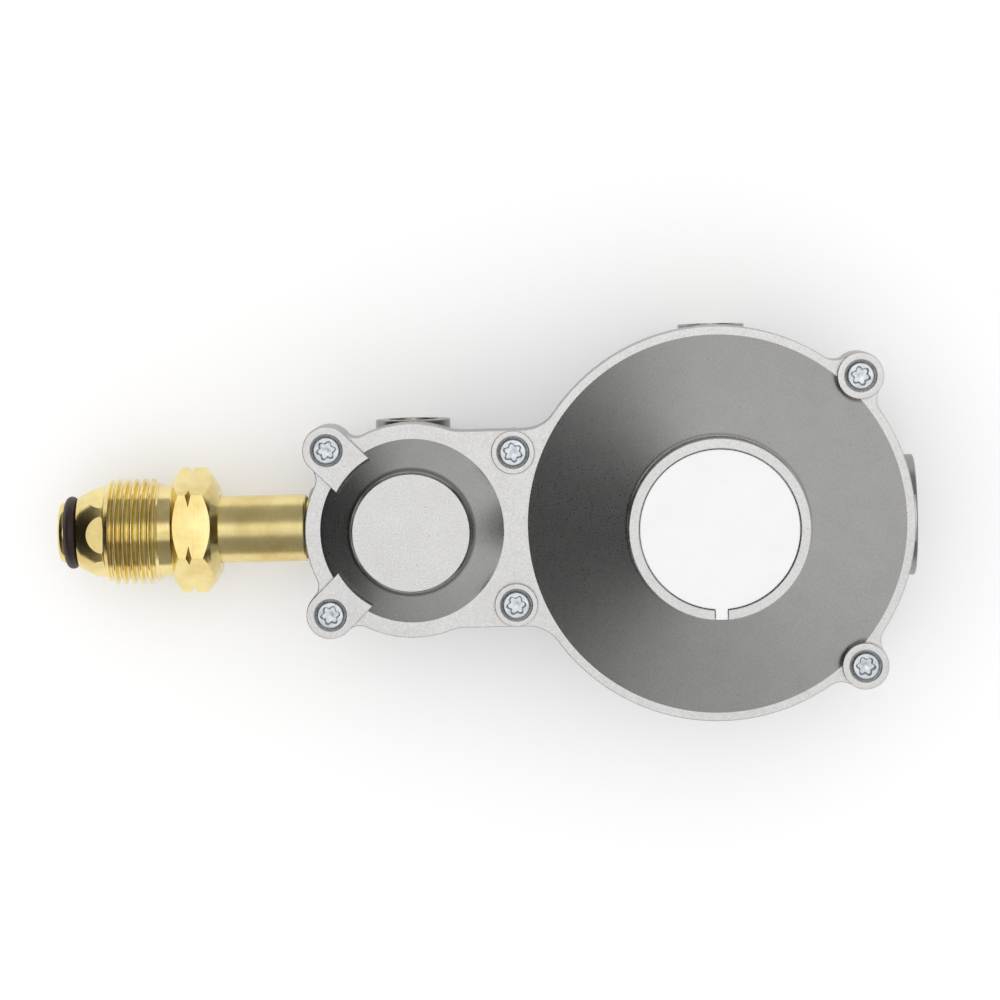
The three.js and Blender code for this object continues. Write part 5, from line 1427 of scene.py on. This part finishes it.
class OBJECT_OT_regulator_diaphragms(bpy.types.Operator):
    """Makes both rolled rubber diaphragms"""

    bl_idname = "object.regulator_diaphragms"
    bl_label = "Diaphragms"

    def execute(self, context):
        for stage, chamber_r, fold, stroke in (
                ("first_stage", FIRST_CHAMBER_R, 5.5 * MM, FIRST_LIFT),
                ("second_stage", SECOND_CHAMBER_R, 9.5 * MM, SECOND_LIFT)):
            node = stage + "_diaphragm"
            low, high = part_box(node)
            x = round(middle(node).x, 4)
            hole, t = DIAPHRAGM_HOLE_R, RUBBER_THICK
            flat_r, flex_r, rim_r = chamber_r - fold + MM, chamber_r - 0.6 * MM, high.y
            profile = softened([
                (hole, low.z), (flat_r, low.z, 1.2 * MM), (flex_r, SPLIT_Z, 0.9 * MM), (rim_r, SPLIT_Z),
                (rim_r, SPLIT_Z + t), (flex_r - t / 2, SPLIT_Z + t, 1.2 * MM),
                (flat_r - t / 2, low.z + t, 0.9 * MM), (hole, low.z + t)])
            rubber = lathe(profile, at=(x, 0, 0), steps=128)
            finish_piece(rubber, node + "_rubber", "root", "rubber", node)
            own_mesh(rubber)
        return {"FINISHED"}


class OBJECT_OT_regulator_works(bpy.types.Operator):
    """Gives the stages' other pieces the finish of their metal or rubber"""

    bl_idname = "object.regulator_works"
    bl_label = "Works"

    def execute(self, context):
        slots = {"diaphragm_plate": "steel", "lever": "steel", "lever_pin": "steel",
                 "valve_plunger": "brass", "valve_seat_disc": "rubber", "valve_carrier": "cast_aluminium",
                 "carrier_screw_1": "zinc_plate", "carrier_screw_2": "zinc_plate",
                 "pusher_post": "brass", "orifice": "brass"}
        nodes = {f"{stage}_{part}": slot for stage in STAGES for part, slot in slots.items()}
        nodes.update({"first_stage_post_nut": "steel", "second_stage_relief_nut": "steel",
                      "adjuster_spring_seat": "steel", "inlet_screen": "steel"})
        for node, slot in nodes.items():
            mesh = bpy.data.objects[node].data
            mesh.materials.clear()
            mesh.materials.append(finish(slot))
        return {"FINISHED"}


# ---------------------------------------------------------------- stage


class OBJECT_OT_regulator_stage(bpy.types.Operator):
    """Sets up the floor, the pale room, the soft lamp, the grey screen round the metal and the camera"""

    bl_idname = "object.regulator_stage"
    bl_label = "Stage"

    def execute(self, context):
        s = context.scene.regulator_stage
        self.floor(s)
        self.room(s)
        self.lamp(s)
        self.screen(s)
        self.camera(context, s)
        context.scene.view_settings.view_transform = "Standard"
        return {"FINISHED"}

    def floor(self, s):
        """A pale floor, a little brighter to the eye than its lamps make it, so that it shows white."""
        half, top = FLOOR_WIDTH / 2, CAD_BOX[0][2] - SEAT_GAP
        floor = slab(rectangle(-half, half, -half, half), [(0, -0.01), (0, top)], name="floor")
        look = Shading("floor")
        floor.data.materials.append(look.finish(
            base_color=s.floor_colour, roughness=0.9, specular_ior_level=0.1, emission_color=(1, 1, 1),
            emission_strength=look.product(look.seen(), s.floor_glow)))

    def room(self, s):
        """A pale room all round: white where it is looked at or mirrored, and softer as light."""
        world = bpy.data.worlds.new("pale_room")
        world.use_nodes = True
        look = Nodes(world.node_tree)
        background = look.tree.nodes["Background"].inputs
        look.feed(background["Color"], (1, 1, 1))
        look.feed(background["Strength"],
                  look.calc("MULTIPLY_ADD", look.seen(), 1 - s.room_light, s.room_light))
        bpy.context.scene.world = world

    def lamp(self, s):
        """One soft lamp overhead, a little to the back."""
        data = bpy.data.lights.new("soft_lamp", "AREA")
        data.size = s.lamp_size
        data.energy = s.lamp_light * math.pi * s.lamp_size ** 2
        lamp = new_piece("soft_lamp", data)
        lamp.location = s.lamp_place
        lamp.rotation_euler = (Vector(s.target) - Vector(s.lamp_place)).to_track_quat("-Z", "Y").to_euler()

    def screen(self, s):
        """A round grey screen that only the metal mirrors: each side has its own shade, blended round."""
        n = 96
        angles = [math.tau * k / n for k in range(n)]
        rings = [(s.screen_radius * math.cos(a), s.screen_radius * math.sin(a), z)
                 for z in (0, s.screen_height) for a in angles]
        faces = [(k, n + k, n + (k + 1) % n, (k + 1) % n) for k in range(n)]
        mesh = bpy.data.meshes.new("screen")
        mesh.from_pydata(rings, [], faces)
        screen = new_piece("screen", mesh)
        screen.location.x = s.screen_centre
        look = Shading("screen")
        facing = look.node("ShaderNodeVectorMath", {0: look.place, 1: (1 / s.screen_radius,) * 3},
                           operation="MULTIPLY").outputs[0]
        place = look.node("ShaderNodeSeparateXYZ", {0: facing}).outputs
        shade = 0.0
        for axis, sign, value in ((0, -1.0, s.screen_left), (0, 1.0, s.screen_right),
                                  (1, 1.0, s.screen_back), (1, -1.0, s.screen_front)):
            towards = look.calc("MULTIPLY", place[axis], sign, use_clamp=True)
            squared = look.product(towards, towards)
            # the two shades along Y fade sooner than the two along X
            rest = squared if axis == 1 else look.calc("SUBTRACT", 2.0, squared)
            shade = look.sum(shade, look.product(squared, rest), value)
        emission = look.node("ShaderNodeEmission", {"Color": (1, 1, 1), "Strength": shade})
        look.feed(look.tree.nodes["Material Output"].inputs[0], emission.outputs[0])
        look.tree.nodes.remove(look.surface)
        mesh.materials.append(look.material)
        screen.visible_camera = screen.visible_diffuse = screen.visible_shadow = False
        screen.visible_transmission = screen.visible_volume_scatter = False

    def camera(self, context, s):
        """Looks down on the bonnet, as the photograph does."""
        data = bpy.data.cameras.new("camera")
        eye, target = Vector(s.eye), Vector(s.target)
        distance = (eye - target).length
        data.sensor_width = SENSOR_WIDTH
        data.lens = SENSOR_WIDTH * distance / s.frame_width
        data.clip_end = 20
        camera = new_piece("camera", data)
        back = (eye - target).normalized()
        along = Vector((math.cos(s.roll), -math.sin(s.roll), 0))
        right = (along - back * along.dot(back)).normalized()
        up = back.cross(right)
        turned = Matrix((right, up, back)).transposed().to_4x4()
        camera.matrix_world = Matrix.Translation(eye) @ turned
        context.scene.camera = camera


# ---------------------------------------------------------------- panel and run

SETTINGS = {
    "regulator_casting": CastingSettings,
    "regulator_brass": BrassSettings,
    "regulator_fasteners": FastenerSettings,
    "regulator_cap": CapSettings,
    "regulator_works": WorksSettings,
    "regulator_stage": StageSettings,
}

OPERATORS = (
    OBJECT_OT_regulator_stage,
    OBJECT_OT_regulator_bonnet,
    OBJECT_OT_regulator_body,
    OBJECT_OT_regulator_cover_screws,
    OBJECT_OT_regulator_gauge_plugs,
    OBJECT_OT_regulator_inlet_tube,
    OBJECT_OT_regulator_inlet_nut,
    OBJECT_OT_regulator_o_ring,
    OBJECT_OT_regulator_cap,
    OBJECT_OT_regulator_adjuster,
    OBJECT_OT_regulator_springs,
    OBJECT_OT_regulator_diaphragms,
    OBJECT_OT_regulator_works,
)


class VIEW3D_PT_regulator(bpy.types.Panel):
    """Lists the regulator's pieces and their settings"""

    bl_idname = "VIEW3D_PT_regulator"
    bl_label = "Regulator"
    bl_space_type = "VIEW_3D"
    bl_region_type = "UI"
    bl_category = "Regulator"

    def draw(self, context):
        for operator in OPERATORS:
            self.layout.operator(operator.bl_idname)
        for name, group in SETTINGS.items():
            box = self.layout.box()
            box.label(text=group.__doc__)
            for key in group.__annotations__:
                box.prop(getattr(context.scene, name), key)


def register():
    for group in SETTINGS.values():
        bpy.utils.register_class(group)
    for name, group in SETTINGS.items():
        setattr(bpy.types.Scene, name, PointerProperty(type=group))
    for kind in OPERATORS + (VIEW3D_PT_regulator,):
        bpy.utils.register_class(kind)


def unregister():
    for kind in reversed(OPERATORS + (VIEW3D_PT_regulator,)):
        bpy.utils.unregister_class(kind)
    for name in SETTINGS:
        delattr(bpy.types.Scene, name)
    for group in reversed(SETTINGS.values()):
        bpy.utils.unregister_class(group)


def main():
    """Makes every piece in order."""
    register()
    for operator in OPERATORS:
        kind, name = operator.bl_idname.split(".")
        getattr(getattr(bpy.ops, kind), name)()
    bpy.context.view_layer.update()


if __name__ == "__main__":
    main()
